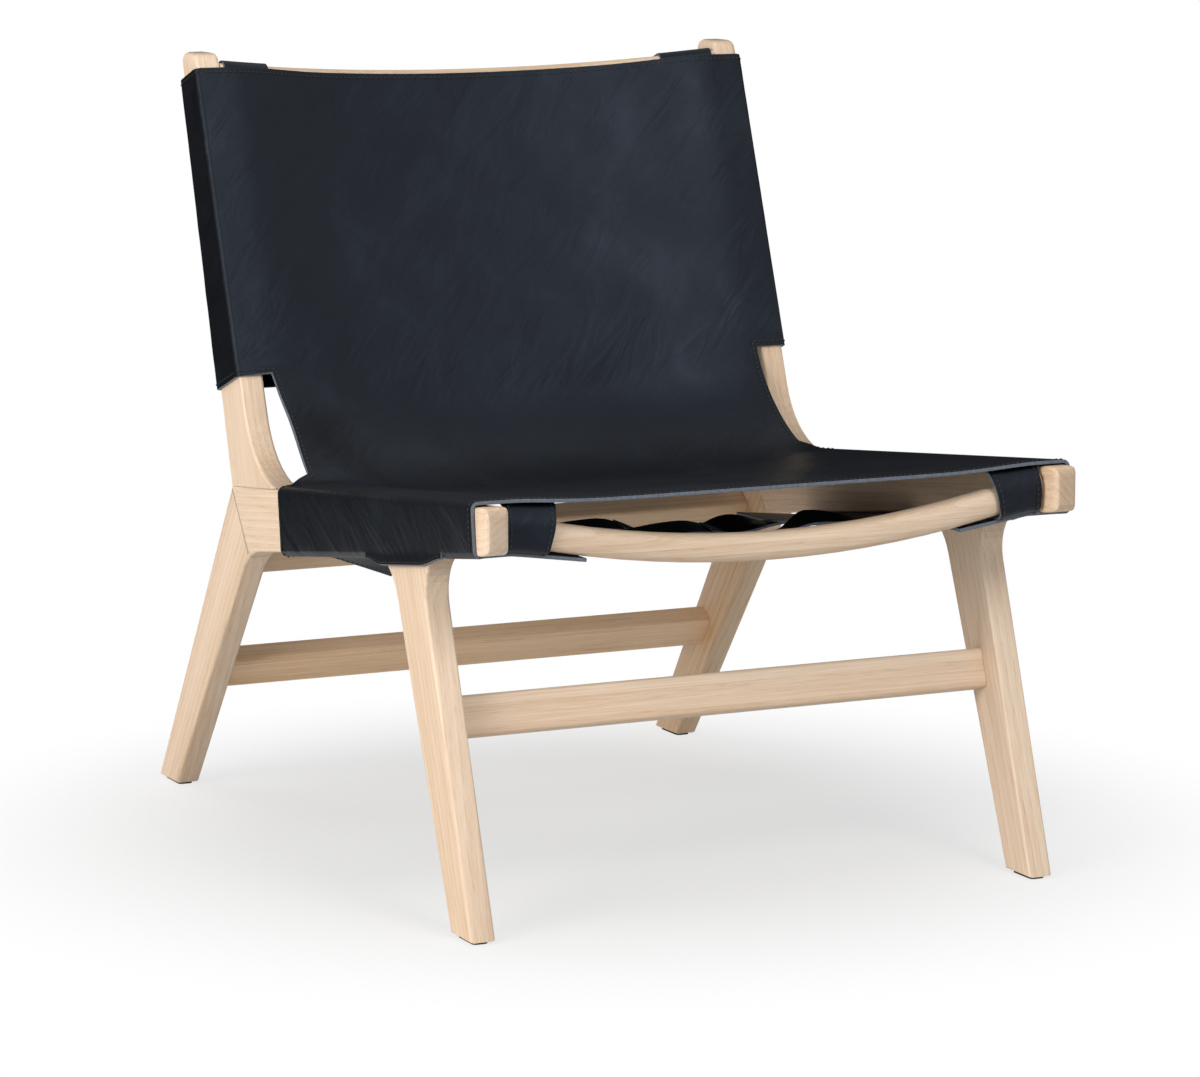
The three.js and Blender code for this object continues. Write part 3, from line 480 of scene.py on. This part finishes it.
# the flap dips below the front bar, and its rear corner hangs free behind the strap
def flapDip(station, x, side):
    if station > curveLength:
        return 0.0
    y, z, _, nz = spot(station, True)
    barY, barZ, barRadius = droop["bar"]
    bow = rise(barRadius, cut["flapEdge"]) - rise(barRadius, droop["barEnd"])
    low = barZ - bow - droop["barDeep"] / 2 - cut["gap"]
    flapHeight = z - (woodDepth(station) + 2 * cut["gap"]) * nz
    underBar = 1 - ease((y - barY - droop["barDeep"]) / droop["barDeep"])
    along = clamped((y - droop["start"]) / droop["length"])
    dip = max(0.0, flapHeight - low + droop["lap"]) * underBar
    dip += droop["middle"] * math.sin(math.pi * along) ** 2
    behind = max(0.0, (y - droop["cornerStart"]) / droop["cornerLength"])
    dip += droop["left" if side < 0 else "right"] * behind ** droop["cornerShape"]
    return dip * clamped((cut["tabEdge"] - x) / (cut["tabEdge"] - cut["flapEdge"]))


# soft unevenness, from -1 to 1, at a place of the flat cut
def waver(u, station, wave):
    return noise.noise(Vector((u / wave["size"], station / wave["size"], wave["seed"])))


# the free edge of each notch pulls straight, more on the left
def tautLift(station, side):
    peak, start, length = cut["leftTaut"] if side < 0 else cut["rightTaut"]
    return peak * math.sin(math.pi * clamped((station - start) / length))


# folds a place of the flat cut, u across and station along, at a height over the wood side
def fold(u, station, height=0.0, hanging=False):
    side = 1 if u >= 0 else -1
    a = abs(u)
    depth = woodDepth(station)
    sideEnd = sideStart + depth - 2 * cut["easing"]
    turnEnd = sideEnd + cornerLength
    full = cornerRadius + height
    if a <= cornerStart:
        x, h = a, height
        if a < cut["edge"]:
            start = min((cut["edge"] - a) / cut["settle"], 1)
            h -= sagAt(station, a) * start * (2 - start)
            calm = ease((cut["edge"] - a) / sheetWave["edgeCalm"])
            calm *= ease((station - cut["front"]) / sheetWave["frontCalm"])
            calm *= ease((cut["top"] - station) / sheetWave["topCalm"])
            h += sheetWave["height"] * calm * waver(u, station, sheetWave)
        held = ease((cornerStart - a) / (cornerStart - cut["edge"]))
        h += tautLift(station, side) * held * min(a / cut["edge"], 1) ** cut["tautShape"]
    elif a <= sideStart:
        turn = (a - cornerStart) / cornerLength * math.pi / 2
        x, h = cornerStart + full * math.sin(turn), full * math.cos(turn) - cornerRadius
    elif a <= sideEnd or hanging:
        x, h = cut["outer"] + cut["gap"] + height, -cornerRadius - (a - sideStart)
        if a > sideEnd:
            x += cut["tabFlare"] * (a - sideEnd) ** 2
    elif a <= turnEnd:
        turn = (a - sideEnd) / cornerLength * math.pi / 2
        x, h = cornerStart + full * math.cos(turn), cut["easing"] - cut["gap"] - depth - full * math.sin(turn)
    else:
        x = cornerStart - (a - turnEnd)
        h = -2 * cut["gap"] - depth - flapDip(station, x, side) - height
    if cornerStart < a < turnEnd:
        calm = ease((a - cornerStart) / sideWave["upCalm"]) * ease((turnEnd - a) / sideWave["lowCalm"])
        bulge = waver(u * sideWave["stretch"], station, sideWave) + sideWave["bias"]
        x += sideWave["height"] * calm * max(0.0, bulge)
    free = 1 - ease((a - cut["edge"]) / (cornerStart - cut["edge"]))
    bothLines = zip(spot(station, True), spot(station, False))
    y, z, ny, nz = (mixed(onWood, loose, free) for onWood, loose in bothLines)
    return Vector((side * x, y + ny * h, z + nz * h)) * mm


# columns from the middle to a flap's edge: zone name and share of it
def hideColumns():
    counts = {"sheet": 30, "strip": 3, "corner": 5, "side": 8, "turn": 5, "outerFlap": 4, "flap": 8}
    columns = [("sheet", 0.0)]
    for zone, count in counts.items():
        columns += [(zone, (i + 1) / count) for i in range(count)]
    return columns


# flat distance from the middle for a column at a station
def flatAcross(column, station, hanging):
    zone, share = column
    sideLength = woodDepth(station) - 2 * cut["easing"]
    lengths = {"sheet": cut["edge"], "strip": cornerStart - cut["edge"], "corner": cornerLength,
               "side": sideLength, "turn": cornerLength, "outerFlap": cornerStart - cut["tabEdge"],
               "flap": cut["tabEdge"] - cut["flapEdge"]}
    if hanging:
        reach = clamped((station - cut["legFrom"]) / (cut["legTo"] - cut["legFrom"]))
        lengths["turn"] = mixed(cut["tabEnds"], cut["tabDrop"], ease(min(reach, 1 - reach) / cut["tabRound"]))
    total = 0.0
    for name, length in lengths.items():
        if name == zone:
            return total + share * length
        total += length


# stations of the rows, close enough to follow the curve and with a row at each cut
def hideRows(step):
    breaks = [cut[key] for key in ("front", "legFrom", "legTo", "seatEnd", "backStart", "flapTop", "top")]
    rows = [breaks[0]]
    for start, end in zip(breaks, breaks[1:]):
        count = max(2, round((end - start) / step))
        rows += [mixed(start, end, (i + 1) / count) for i in range(count)]
    return rows


def keptZone(zone, station):
    onSeat, onBack = station < cut["seatEnd"], station > cut["backStart"]
    atLeg = cut["legFrom"] < station < cut["legTo"]
    if zone == "sheet":
        return True
    if zone in ("strip", "corner", "side", "turn"):
        return onSeat or onBack
    if zone == "outerFlap":
        return onBack or (onSeat and not atLeg)
    return onSeat or (onBack and station < cut["flapTop"])


# each notch's lower corner is cut aslant, rising towards the back
def cornerShift(a, station):
    if a > cut["edge"]:
        away = (a - cut["edge"]) / (cornerStart - cut["edge"])
    else:
        away = (cut["edge"] - a) / cut["cornerAcross"]
    return cut["cornerRise"] * ease(1 - away) * ease(1 - abs(station - cut["seatEnd"]) / cut["cornerAlong"])


def bevelEdges(piece, name, width, angle):
    rounded = piece.modifiers.new(name, "BEVEL")
    rounded.width = width * mm
    rounded.segments = 2
    rounded.limit_method = "ANGLE"
    rounded.angle_limit = math.radians(angle)


# gives a folded sheet its thickness outwards, with a cut edge of its own material
def thicken(piece, spec):
    solid = piece.modifiers.new("thickness", "SOLIDIFY")
    solid.thickness = spec["thick"] * mm
    solid.offset = 1.0
    solid.use_even_offset = True
    solid.material_offset_rim = 1
    bevelEdges(piece, "cutEdge", spec["softEdge"], angle=50)
    smoothFaces(piece.data)
    keep = piece.modifiers.new("faceNormals", "WEIGHTED_NORMAL")
    keep.keep_sharp = True


# a hide with its face and, for the rim, its cut edge
def makeHidePiece(name, mesh, replaced):
    mesh.materials.append(hideGrain)
    mesh.materials.append(hideRaw)
    return makePiece(name, mesh, None, replaced)


def makeSling():
    half = hideColumns()
    columns = [(c, -1) for c in half[:0:-1]] + [(c, 1) for c in half]
    rows = hideRows(cut["rowStep"])
    work = bmesh.new()
    bmesh.ops.create_grid(work, x_segments=len(columns) - 1, y_segments=len(rows) - 1, size=1.0)
    column = work.verts.layers.int.new("column")
    row = work.verts.layers.int.new("row")
    for vert in work.verts:
        vert[column] = round((vert.co.x + 1) / 2 * (len(columns) - 1))
        vert[row] = round((vert.co.y + 1) / 2 * (len(rows) - 1))

    def zoneOf(face):
        outer = max((v[column] for v in face.verts), key=lambda c: abs(c - len(half) + 1))
        station = sum(rows[v[row]] for v in face.verts) / len(face.verts)
        return columns[outer][0][0], station

    bmesh.ops.delete(work, geom=[f for f in work.faces if not keptZone(*zoneOf(f))], context="FACES")
    # slits beside the tab that hangs over the front leg
    slits = []
    for edge in work.edges:
        ends = {rows[v[row]] for v in edge.verts}
        zones = {columns[v[column]][0][0] for v in edge.verts}
        atLeg = len(ends) == 1 and ends & {cut["legFrom"], cut["legTo"]}
        if atLeg and "turn" in zones and zones <= {"turn", "side"}:
            slits.append(edge)
    bmesh.ops.split_edges(work, edges=slits)
    flat = work.loops.layers.uv.new("flat")
    for vert in work.verts:
        spec, side = columns[vert[column]]
        station = rows[vert[row]]
        atLeg = [cut["legFrom"] < zoneOf(f)[1] < cut["legTo"] for f in vert.link_faces]
        hanging = spec[0] == "turn" and all(atLeg)
        fromFront = (station - cut["front"]) / cut["setbackLength"]
        if spec[0] in ("outerFlap", "flap") and fromFront < 1:
            station += cut["setback"] * (1 - fromFront)
        u = side * flatAcross(spec, station, hanging)
        if spec[0] in ("sheet", "strip"):
            station += cornerShift(abs(u), station)
        vert.co = fold(u, station, 0.0, hanging)
        for loop in vert.link_loops:
            loop[flat].uv = (u * mm, station * mm)
    area = sum(face.calc_area() for face in work.faces)
    piece = makeHidePiece("slingHide", keepMesh("slingHide", work), ["sling"])
    thicken(piece, cut)
    return piece, area


slingPiece, slingArea = makeSling()
print("hide folded, area", round(slingArea, 4))


# a path through corners given as (y, z, radius), in steps short enough to look round
def roundedPath(corners, step=4.0, turnSteps=6):
    points = []
    for i, corner in enumerate(corners):
        here = Vector(corner[:2])
        if i in (0, len(corners) - 1):
            points.append(here)
            continue
        radius = corner[2]
        toBefore = (Vector(corners[i - 1][:2]) - here).normalized()
        toAfter = (Vector(corners[i + 1][:2]) - here).normalized()
        half = toBefore.angle(toAfter) / 2
        centre = here + (toBefore + toAfter).normalized() * (radius / math.sin(half))
        first = here + toBefore * (radius / math.tan(half)) - centre
        last = here + toAfter * (radius / math.tan(half)) - centre
        start = math.atan2(first.y, first.x)
        swing = (math.atan2(last.y, last.x) - start + math.pi) % (2 * math.pi) - math.pi
        turns = [start + swing * k / turnSteps for k in range(turnSteps + 1)]
        points += [centre + radius * Vector((math.cos(turn), math.sin(turn))) for turn in turns]
    fine = [points[0]]
    for before, after in zip(points, points[1:]):
        count = max(1, math.ceil((after - before).length / step))
        fine += [before.lerp(after, (k + 1) / count) for k in range(count)]
    return fine


# loops that tie the hide to the two bowed bars, in mm: the front one swells round its bar between two turns,
# the top one laps over its own end and leaves a short tail
loops = {"thick": 2.5, "softEdge": 0.5, "columns": 8, "near": 220.5, "far": 272.8, "nearSlant": 10.0,
         "front": -400.3, "rear": -374.0, "high": 393.7, "low": 345.6, "highRear": 390.6, "lowRear": 341.5,
         "lowOut": 0.5, "highBack": 8.0, "turn": 8.0, "swellOut": 3.0, "swellHigh": 373.0, "swellTurn": 30.0,
         "clear": 0.2, "rail": (278.16, 728.47), "railUp": (0.33710, 0.94147), "railRadius": 880.0,
         "railEnd": 276.5, "tall": 20.3, "deep": 12.3, "lap": 26.0, "topTurn": 6.0, "tailTurn": 2.6,
         "tail": 15.5}
tall, deep = loops["tall"], loops["deep"]
tailAt = -deep - loops["thick"]
frontPath = roundedPath([(loops["rear"], loops["lowRear"]),
                         (loops["front"] - loops["lowOut"], loops["low"], loops["turn"]),
                         (loops["front"] - loops["swellOut"], loops["swellHigh"], loops["swellTurn"]),
                         (loops["front"] + loops["highBack"], loops["high"], loops["turn"]),
                         (loops["rear"], loops["highRear"])])
topPath = roundedPath([(-deep, loops["lap"] - tall), (-deep, tall, loops["topTurn"]),
                       (deep, tall, loops["topTurn"]), (deep, -tall, loops["topTurn"]),
                       (tailAt, -tall, loops["tailTurn"]), (tailAt, -tall - loops["tail"])])


# a hide band laid along a path; place turns (share across, path point) into x, y, z in mm
def makeBand(name, path, place, replaced):
    work = bmesh.new()
    bmesh.ops.create_grid(work, x_segments=loops["columns"], y_segments=len(path) - 1, size=1.0)
    flat = work.loops.layers.uv.new("flat")
    lengths = [0.0]
    for before, after in zip(path, path[1:]):
        lengths.append(lengths[-1] + (after - before).length)
    for vert in work.verts:
        share = (vert.co.x + 1) / 2
        index = round((vert.co.y + 1) / 2 * (len(path) - 1))
        vert.co = Vector(place(share, path[index])) * mm
        for loop in vert.link_loops:
            loop[flat].uv = (vert.co.x, lengths[index] * mm)
    area = sum(face.calc_area() for face in work.faces)
    piece = makeHidePiece(name, keepMesh(name, work), replaced)
    thicken(piece, loops)


# across the band, from left to right on both sides of the chair
def bandAcross(side, near, share):
    return mixed(near, loops["far"], share) if side > 0 else -mixed(loops["far"], near, share)


def frontPlace(side):
    def place(share, point):
        fall = clamped((loops["high"] - point.y) / (loops["high"] - loops["low"]))
        x = bandAcross(side, loops["near"] + loops["nearSlant"] * fall, share)
        station = cut["front"] + cut["setback"]
        depth = 2 * cut["gap"] + woodDepth(station) + flapDip(station, abs(x), side)
        low = spot(station, True)[1] - depth * seatRun[0] + loops["thick"] + loops["clear"]
        lift = sag["front"] * min(abs(x) / cut["edge"], 1) ** sag["frontShape"]
        return x, point.x, point.y + mixed(lift, low - loops["low"], fall)
    return place


def topPlace(side):
    up = Vector(loops["railUp"])
    rear = Vector((up.y, -up.x))

    def place(share, point):
        x = bandAcross(side, loops["near"], share)
        bow = rise(loops["railRadius"], x) - rise(loops["railRadius"], loops["railEnd"])
        y, z = Vector(loops["rail"]) + up * point.y + rear * (point.x + bow)
        return x, y, z
    return place


for hand, side in (("left", -1), ("right", 1)):
    makeBand(hand + "FrontLoop", frontPath, frontPlace(side), [hand + "_front_loop"])
    makeBand(hand + "TopLoop", topPath, topPlace(side), [hand + "_top_loop"])
print("loops wrapped")

# buckled straps: each lies flat on its flaps, whose slope in the side view is given in degrees
strapLean = {"front_strap": cut["railBottom"][2], "rear_strap": cut["railBottom"][2],
             "lower_back_strap": cut["postRear"][2], "upper_back_strap": cut["postRear"][2]}
# slack leather arches up between flaps and buckle, its rear edge most: start, crown, end, two rises in mm
strapArch = {"front_strap": [(-175, -20, 43, 5, 16), (80, 112, 205, 5, 17)],
             "rear_strap": [(-175, 5, 66, 6, 17), (104, 150, 205, -7, 11)]}
archSteps = 24
# a face is a cut edge if it looks this much across or along the strap
edgeFacing = {"across": 0.8, "along": 0.9}
# width of the softened edges, in mm
softWidth = {"strap": 0.35, "buckle": 0.4, "prong": 0.3}


def arch(mesh, arches, widthAxis):
    work = bmesh.new()
    work.from_mesh(mesh)
    across = [vert.co.dot(widthAxis) for vert in work.verts]
    front, rear = min(across), max(across)
    for start, crown, end, frontRise, rearRise in arches:
        for step in range(archSteps + 1):
            cutAt(work, (mixed(start, end, step / archSteps) * mm, 0, 0), (1, 0, 0))
        for vert in work.verts:
            x = vert.co.x / mm
            if start < x < end:
                part = (x - start) / (crown - start) if x < crown else (end - x) / (end - crown)
                lift = mixed(frontRise, rearRise, (vert.co.dot(widthAxis) - front) / (rear - front))
                vert.co.z += lift * mm * (0.5 - 0.5 * math.cos(math.pi * part))
    work.to_mesh(mesh)
    work.free()


def soften(piece, width):
    bevelEdges(piece, "softEdge", width, angle=40)
    smoothShade(piece, angle=60)


def makeStrap(name, degrees, arches):
    turn = math.radians(degrees)
    widthAxis = Vector((0, math.cos(turn), math.sin(turn)))
    mesh = copyNode(name)
    arch(mesh, arches, widthAxis)
    flat = mesh.uv_layers.new(name="flat")
    for loop in mesh.loops:
        co = mesh.vertices[loop.vertex_index].co
        flat.data[loop.index].uv = (co.x, co.dot(widthAxis))
    piece = makeHidePiece(name + "_hide", mesh, [name])
    for polygon in mesh.polygons:
        across, along = abs(polygon.normal.dot(widthAxis)), abs(polygon.normal.x)
        polygon.material_index = int(across > edgeFacing["across"] or along > edgeFacing["along"])
    soften(piece, softWidth["strap"])


for strap, degrees in strapLean.items():
    for part in ("buckle_end", "tail", "keeper"):
        makeStrap(strap + "_" + part, degrees, strapArch.get(strap, []))
    for part in ("buckle", "prong"):
        name = strap + "_" + part
        body = name if part == "prong" else bodyName
        soften(makePiece(name + "_cast", copyNode(name), bronze, [name], body), softWidth[part])
print("straps dressed")

# dowels and glides show little: the CAD solids with a material
dowelGrain = (0, 0.3, 0.95)
pithAway = 0.06
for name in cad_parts:
    if "_dowel_" in name:
        mesh = copyNode(name)
        layGrain(mesh, dowelGrain, (1, 0, 0), (random.uniform(-1, 1), pithAway, 0))
        smoothShade(makePiece(name + "_turned", mesh, dowelWood, [name]), angle=40)
    elif "_glide" in name:
        smoothShade(makePiece(name + "_felt", copyNode(name), felt, [name]), angle=40)
print("dowels and glides dressed")

# stitches: small rounded threads in a row beside each cut edge, in mm; shares are places across a piece
stitch = {"length": 3.7, "pitch": 5.2, "thick": 1.6, "flat": 0.8, "proud": 0.4, "inset": 5.0,
          "frontStop": 3.0, "tabEnds": 4.0, "tabInset": 3.6, "flapShare": 0.94, "loopShares": (0.09, 0.91),
          "around": 6, "rings": 4}


# sews along points given as (place, outward), both in metres, and adds the row to the rest
def sew(rest, line):
    work = bmesh.new()
    gone, due = 0.0, stitch["pitch"] * mm / 2
    for (start, out), (end, _) in zip(line, line[1:]):
        span = (end - start).length
        while span > 0 and gone + span >= due:
            along = (end - start).normalized()
            centre = start.lerp(end, (due - gone) / span) + out * stitch["proud"] * mm
            aside = out.cross(along).normalized()
            axes = Matrix((along * stitch["length"], aside * stitch["thick"],
                           out * stitch["thick"] * stitch["flat"])).transposed()
            turned = Matrix.Translation(centre) @ (axes * (mm / 2)).to_4x4()
            bmesh.ops.create_uvsphere(work, u_segments=stitch["around"], v_segments=stitch["rings"],
                                      radius=1.0, matrix=turned)
            due += stitch["pitch"] * mm
        gone += span
    row = keepMesh("seamRow", work)
    rest.from_mesh(row)
    bpy.data.meshes.remove(row)


# a seam on the hide between two places of the flat cut, each (u, station), or along a line across(station)
def seamOnHide(first, last, hanging=False, across=None, count=160):
    line = []
    for k in range(count + 1):
        station = mixed(first[1], last[1], k / count)
        u = across(station) if across else mixed(first[0], last[0], k / count)
        here = fold(u, station, cut["thick"], hanging)
        line.append((here, (fold(u, station, cut["thick"] + 1.0, hanging) - here).normalized()))
    return line


def seamOnBand(path, place, share):
    line = []
    for k, point in enumerate(path):
        run = path[min(k + 1, len(path) - 1)] - path[max(k - 1, 0)]
        edge = place(share, point)
        out = Vector((0, -run.y, run.x)).normalized()
        line.append((Vector(edge) * mm + out * loops["thick"] * mm, out))
    return line


def sewSide(work, side):
    def flapLine(station):
        return side * flatAcross(("flap", stitch["flapShare"]), station, False)

    def tabLine(station):
        return side * (flatAcross(("turn", 1.0), station, True) - stitch["tabInset"])

    inset = stitch["inset"]
    front, top = cut["front"] + inset, cut["top"] - inset
    low, high = cut["seatEnd"] - inset, cut["backStart"] + inset
    edge, corner = side * (cut["edge"] - inset), side * cornerStart
    raised = low + cut["cornerRise"]
    sideEnd = side * (flatAcross(("side", 1.0), cut["front"], False) - stitch["frontStop"])
    turnEnd = side * flatAcross(("turn", 1.0), cut["top"], False)
    sew(work, seamOnHide((0, front), (sideEnd, front)))
    sew(work, seamOnHide((0, top), (turnEnd, top)))
    sew(work, seamOnHide((edge, raised), (edge, high)))
    sew(work, seamOnHide((edge, raised), (corner, low), count=20))
    sew(work, seamOnHide((corner, low), (flapLine(low), low), count=240))
    sew(work, seamOnHide((edge, high), (flapLine(high), high), count=240))
    tabFrom, tabTo = cut["legFrom"] + stitch["tabEnds"], cut["legTo"] - stitch["tabEnds"]
    sew(work, seamOnHide((0, tabFrom), (0, tabTo), hanging=True, across=tabLine))
    sew(work, seamOnHide((0, front + cut["setback"]), (0, low), across=flapLine, count=400))
    sew(work, seamOnHide((0, high), (0, cut["flapTop"] - inset), across=flapLine, count=300))


def makeStitches():
    work = bmesh.new()
    for side in (-1, 1):
        sewSide(work, side)
    for side in (-1, 1):
        for share in stitch["loopShares"]:
            sew(work, seamOnBand(frontPath, frontPlace(side), share))
    mesh = keepMesh("hideStitches", work)
    smoothFaces(mesh)
    return makePiece("hideStitches", mesh, thread)


stitches = makeStitches()
print("seams sewn:", len(stitches.data.polygons), "faces")

# studio: a pale floor that fades to white away from the chair, a soft dome, three soft lights and
# a black flag behind the chair that only reflections show, so that the hide stays dark at a glance
studio = {"floor": "#d6d6d6", "floorSize": 30.0, "haze": 0.6, "fadeFrom": 0.28, "fadeTo": 0.74,
          "dome": 0.5, "domeBehind": 0.15, "domeFrom": -0.3, "domeTo": 0.6, "aim": (0, 0, 0.35)}
flag = {"radius": 1.25, "height": 1.6, "behind": 0.2, "segments": 48, "colour": "#050505"}
lamps = {"keySoftbox": {"at": (0.2, -2.9, 2.6), "size": 1.4, "power": 40, "colour": "#ffffff"},
         "leftSoftbox": {"at": (-3.0, -1.2, 1.3), "size": 2.2, "power": 76, "colour": "#fffaf4"},
         "rearSoftbox": {"at": (-1.9, 2.9, 2.2), "size": 2.4, "power": 30, "colour": "#ffffff"}}


# rays that find the background white: the camera's, and those that metal or glass send on
def plainSight(tree):
    ray = put(tree, "ShaderNodeLightPath")
    sentOn = put(tree, "ShaderNodeMath", {"operation": "MAXIMUM"}, i0=(ray, "Is Glossy Ray"),
                 i1=(ray, "Is Transmission Ray"))
    return put(tree, "ShaderNodeMath", {"operation": "MAXIMUM"}, i0=(ray, "Is Camera Ray"),
               i1=(sentOn, "Value"))


# matt floor paint, pale under the chair
def makeFloor(spec):
    work = bmesh.new()
    bmesh.ops.create_grid(work, x_segments=1, y_segments=1, size=spec["floorSize"])
    floor = addObject("studioFloor", keepMesh("studioFloor", work))
    material, tree = startMaterial("paintedFloor")
    place = put(tree, "ShaderNodeTexCoord")
    far = put(tree, "ShaderNodeVectorMath", {"operation": "LENGTH"}, i0=(place, "Object"))
    fade = put(tree, "ShaderNodeMapRange", {"interpolation_type": "SMOOTHSTEP"}, Value=(far, "Value"),
               From_Min=spec["fadeFrom"], From_Max=spec["fadeTo"], To_Min=spec["haze"])
    seen = put(tree, "ShaderNodeMath", {"operation": "MULTIPLY"}, i0=(fade, "Result"),
               i1=(plainSight(tree), "Value"))
    paint = put(tree, "ShaderNodeBsdfDiffuse", None, Color=linear(spec["floor"]))
    white = put(tree, "ShaderNodeEmission", None, Color=(1, 1, 1, 1), Strength=1.0)
    both = put(tree, "ShaderNodeMixShader", None, i0=(seen, "Value"), i1=(paint, "BSDF"),
               i2=(white, "Emission"))
    put(tree, "ShaderNodeOutputMaterial", None, Surface=(both, "Shader"))
    floor.data.materials.append(material)


# black felt: dark from every side; no camera sees it, and it throws no shadow
def makeFlag(spec):
    work = bmesh.new()
    bmesh.ops.create_cone(work, cap_ends=False, segments=spec["segments"], radius1=spec["radius"],
                          radius2=spec["radius"], depth=spec["height"])
    cutAt(work, (0, spec["behind"], 0), (0, 1, 0), clear_inner=True)
    bmesh.ops.translate(work, verts=work.verts, vec=(0, 0, spec["height"] / 2))
    screen = addObject("blackFlag", keepMesh("blackFlag", work))
    material, tree = startMaterial("blackFelt")
    cloth = put(tree, "ShaderNodeBsdfDiffuse", None, Color=linear(spec["colour"]))
    put(tree, "ShaderNodeOutputMaterial", None, Surface=(cloth, "BSDF"))
    screen.data.materials.append(material)
    for sight in ("visible_camera", "visible_diffuse", "visible_transmission", "visible_shadow"):
        setattr(screen, sight, False)


def makeLight(name, spec):
    lamp = bpy.data.lights.new(name, "AREA")
    lamp.shape = "DISK"
    lamp.size = spec["size"]
    lamp.energy = spec["power"]
    lamp.color = linear(spec["colour"])[:3]
    light = addObject(name, lamp)
    light.location = spec["at"]
    aim = Vector(studio["aim"]) - Vector(spec["at"])
    light.rotation_mode = "QUATERNION"
    light.rotation_quaternion = aim.to_track_quat("-Z", "Y")


def makeWorld(spec):
    world = bpy.data.worlds.new("studioDome")
    world.use_nodes = True
    tree = world.node_tree
    tree.nodes.clear()
    # brighter in front of the chair than behind it
    place = put(tree, "ShaderNodeTexCoord")
    axes = put(tree, "ShaderNodeSeparateXYZ", None, Vector=(place, "Generated"))
    level = put(tree, "ShaderNodeMapRange", {"interpolation_type": "SMOOTHSTEP"}, Value=(axes, "Y"),
                From_Min=spec["domeFrom"], From_Max=spec["domeTo"], To_Min=spec["dome"],
                To_Max=spec["domeBehind"])
    dome = put(tree, "ShaderNodeBackground", None, Color=(1, 1, 1, 1), Strength=(level, "Result"))
    white = put(tree, "ShaderNodeBackground", None, Color=(1, 1, 1, 1), Strength=1.0)
    both = put(tree, "ShaderNodeMixShader", None, i0=(plainSight(tree), "Value"), i1=(dome, "Background"),
               i2=(white, "Background"))
    put(tree, "ShaderNodeOutputWorld", None, Surface=(both, "Shader"))
    bpy.context.scene.world = world


makeFloor(studio)
makeFlag(flag)
for name, spec in lamps.items():
    makeLight(name, spec)
makeWorld(studio)
bpy.context.scene.view_settings.view_transform = "Standard"
print("studio lit")
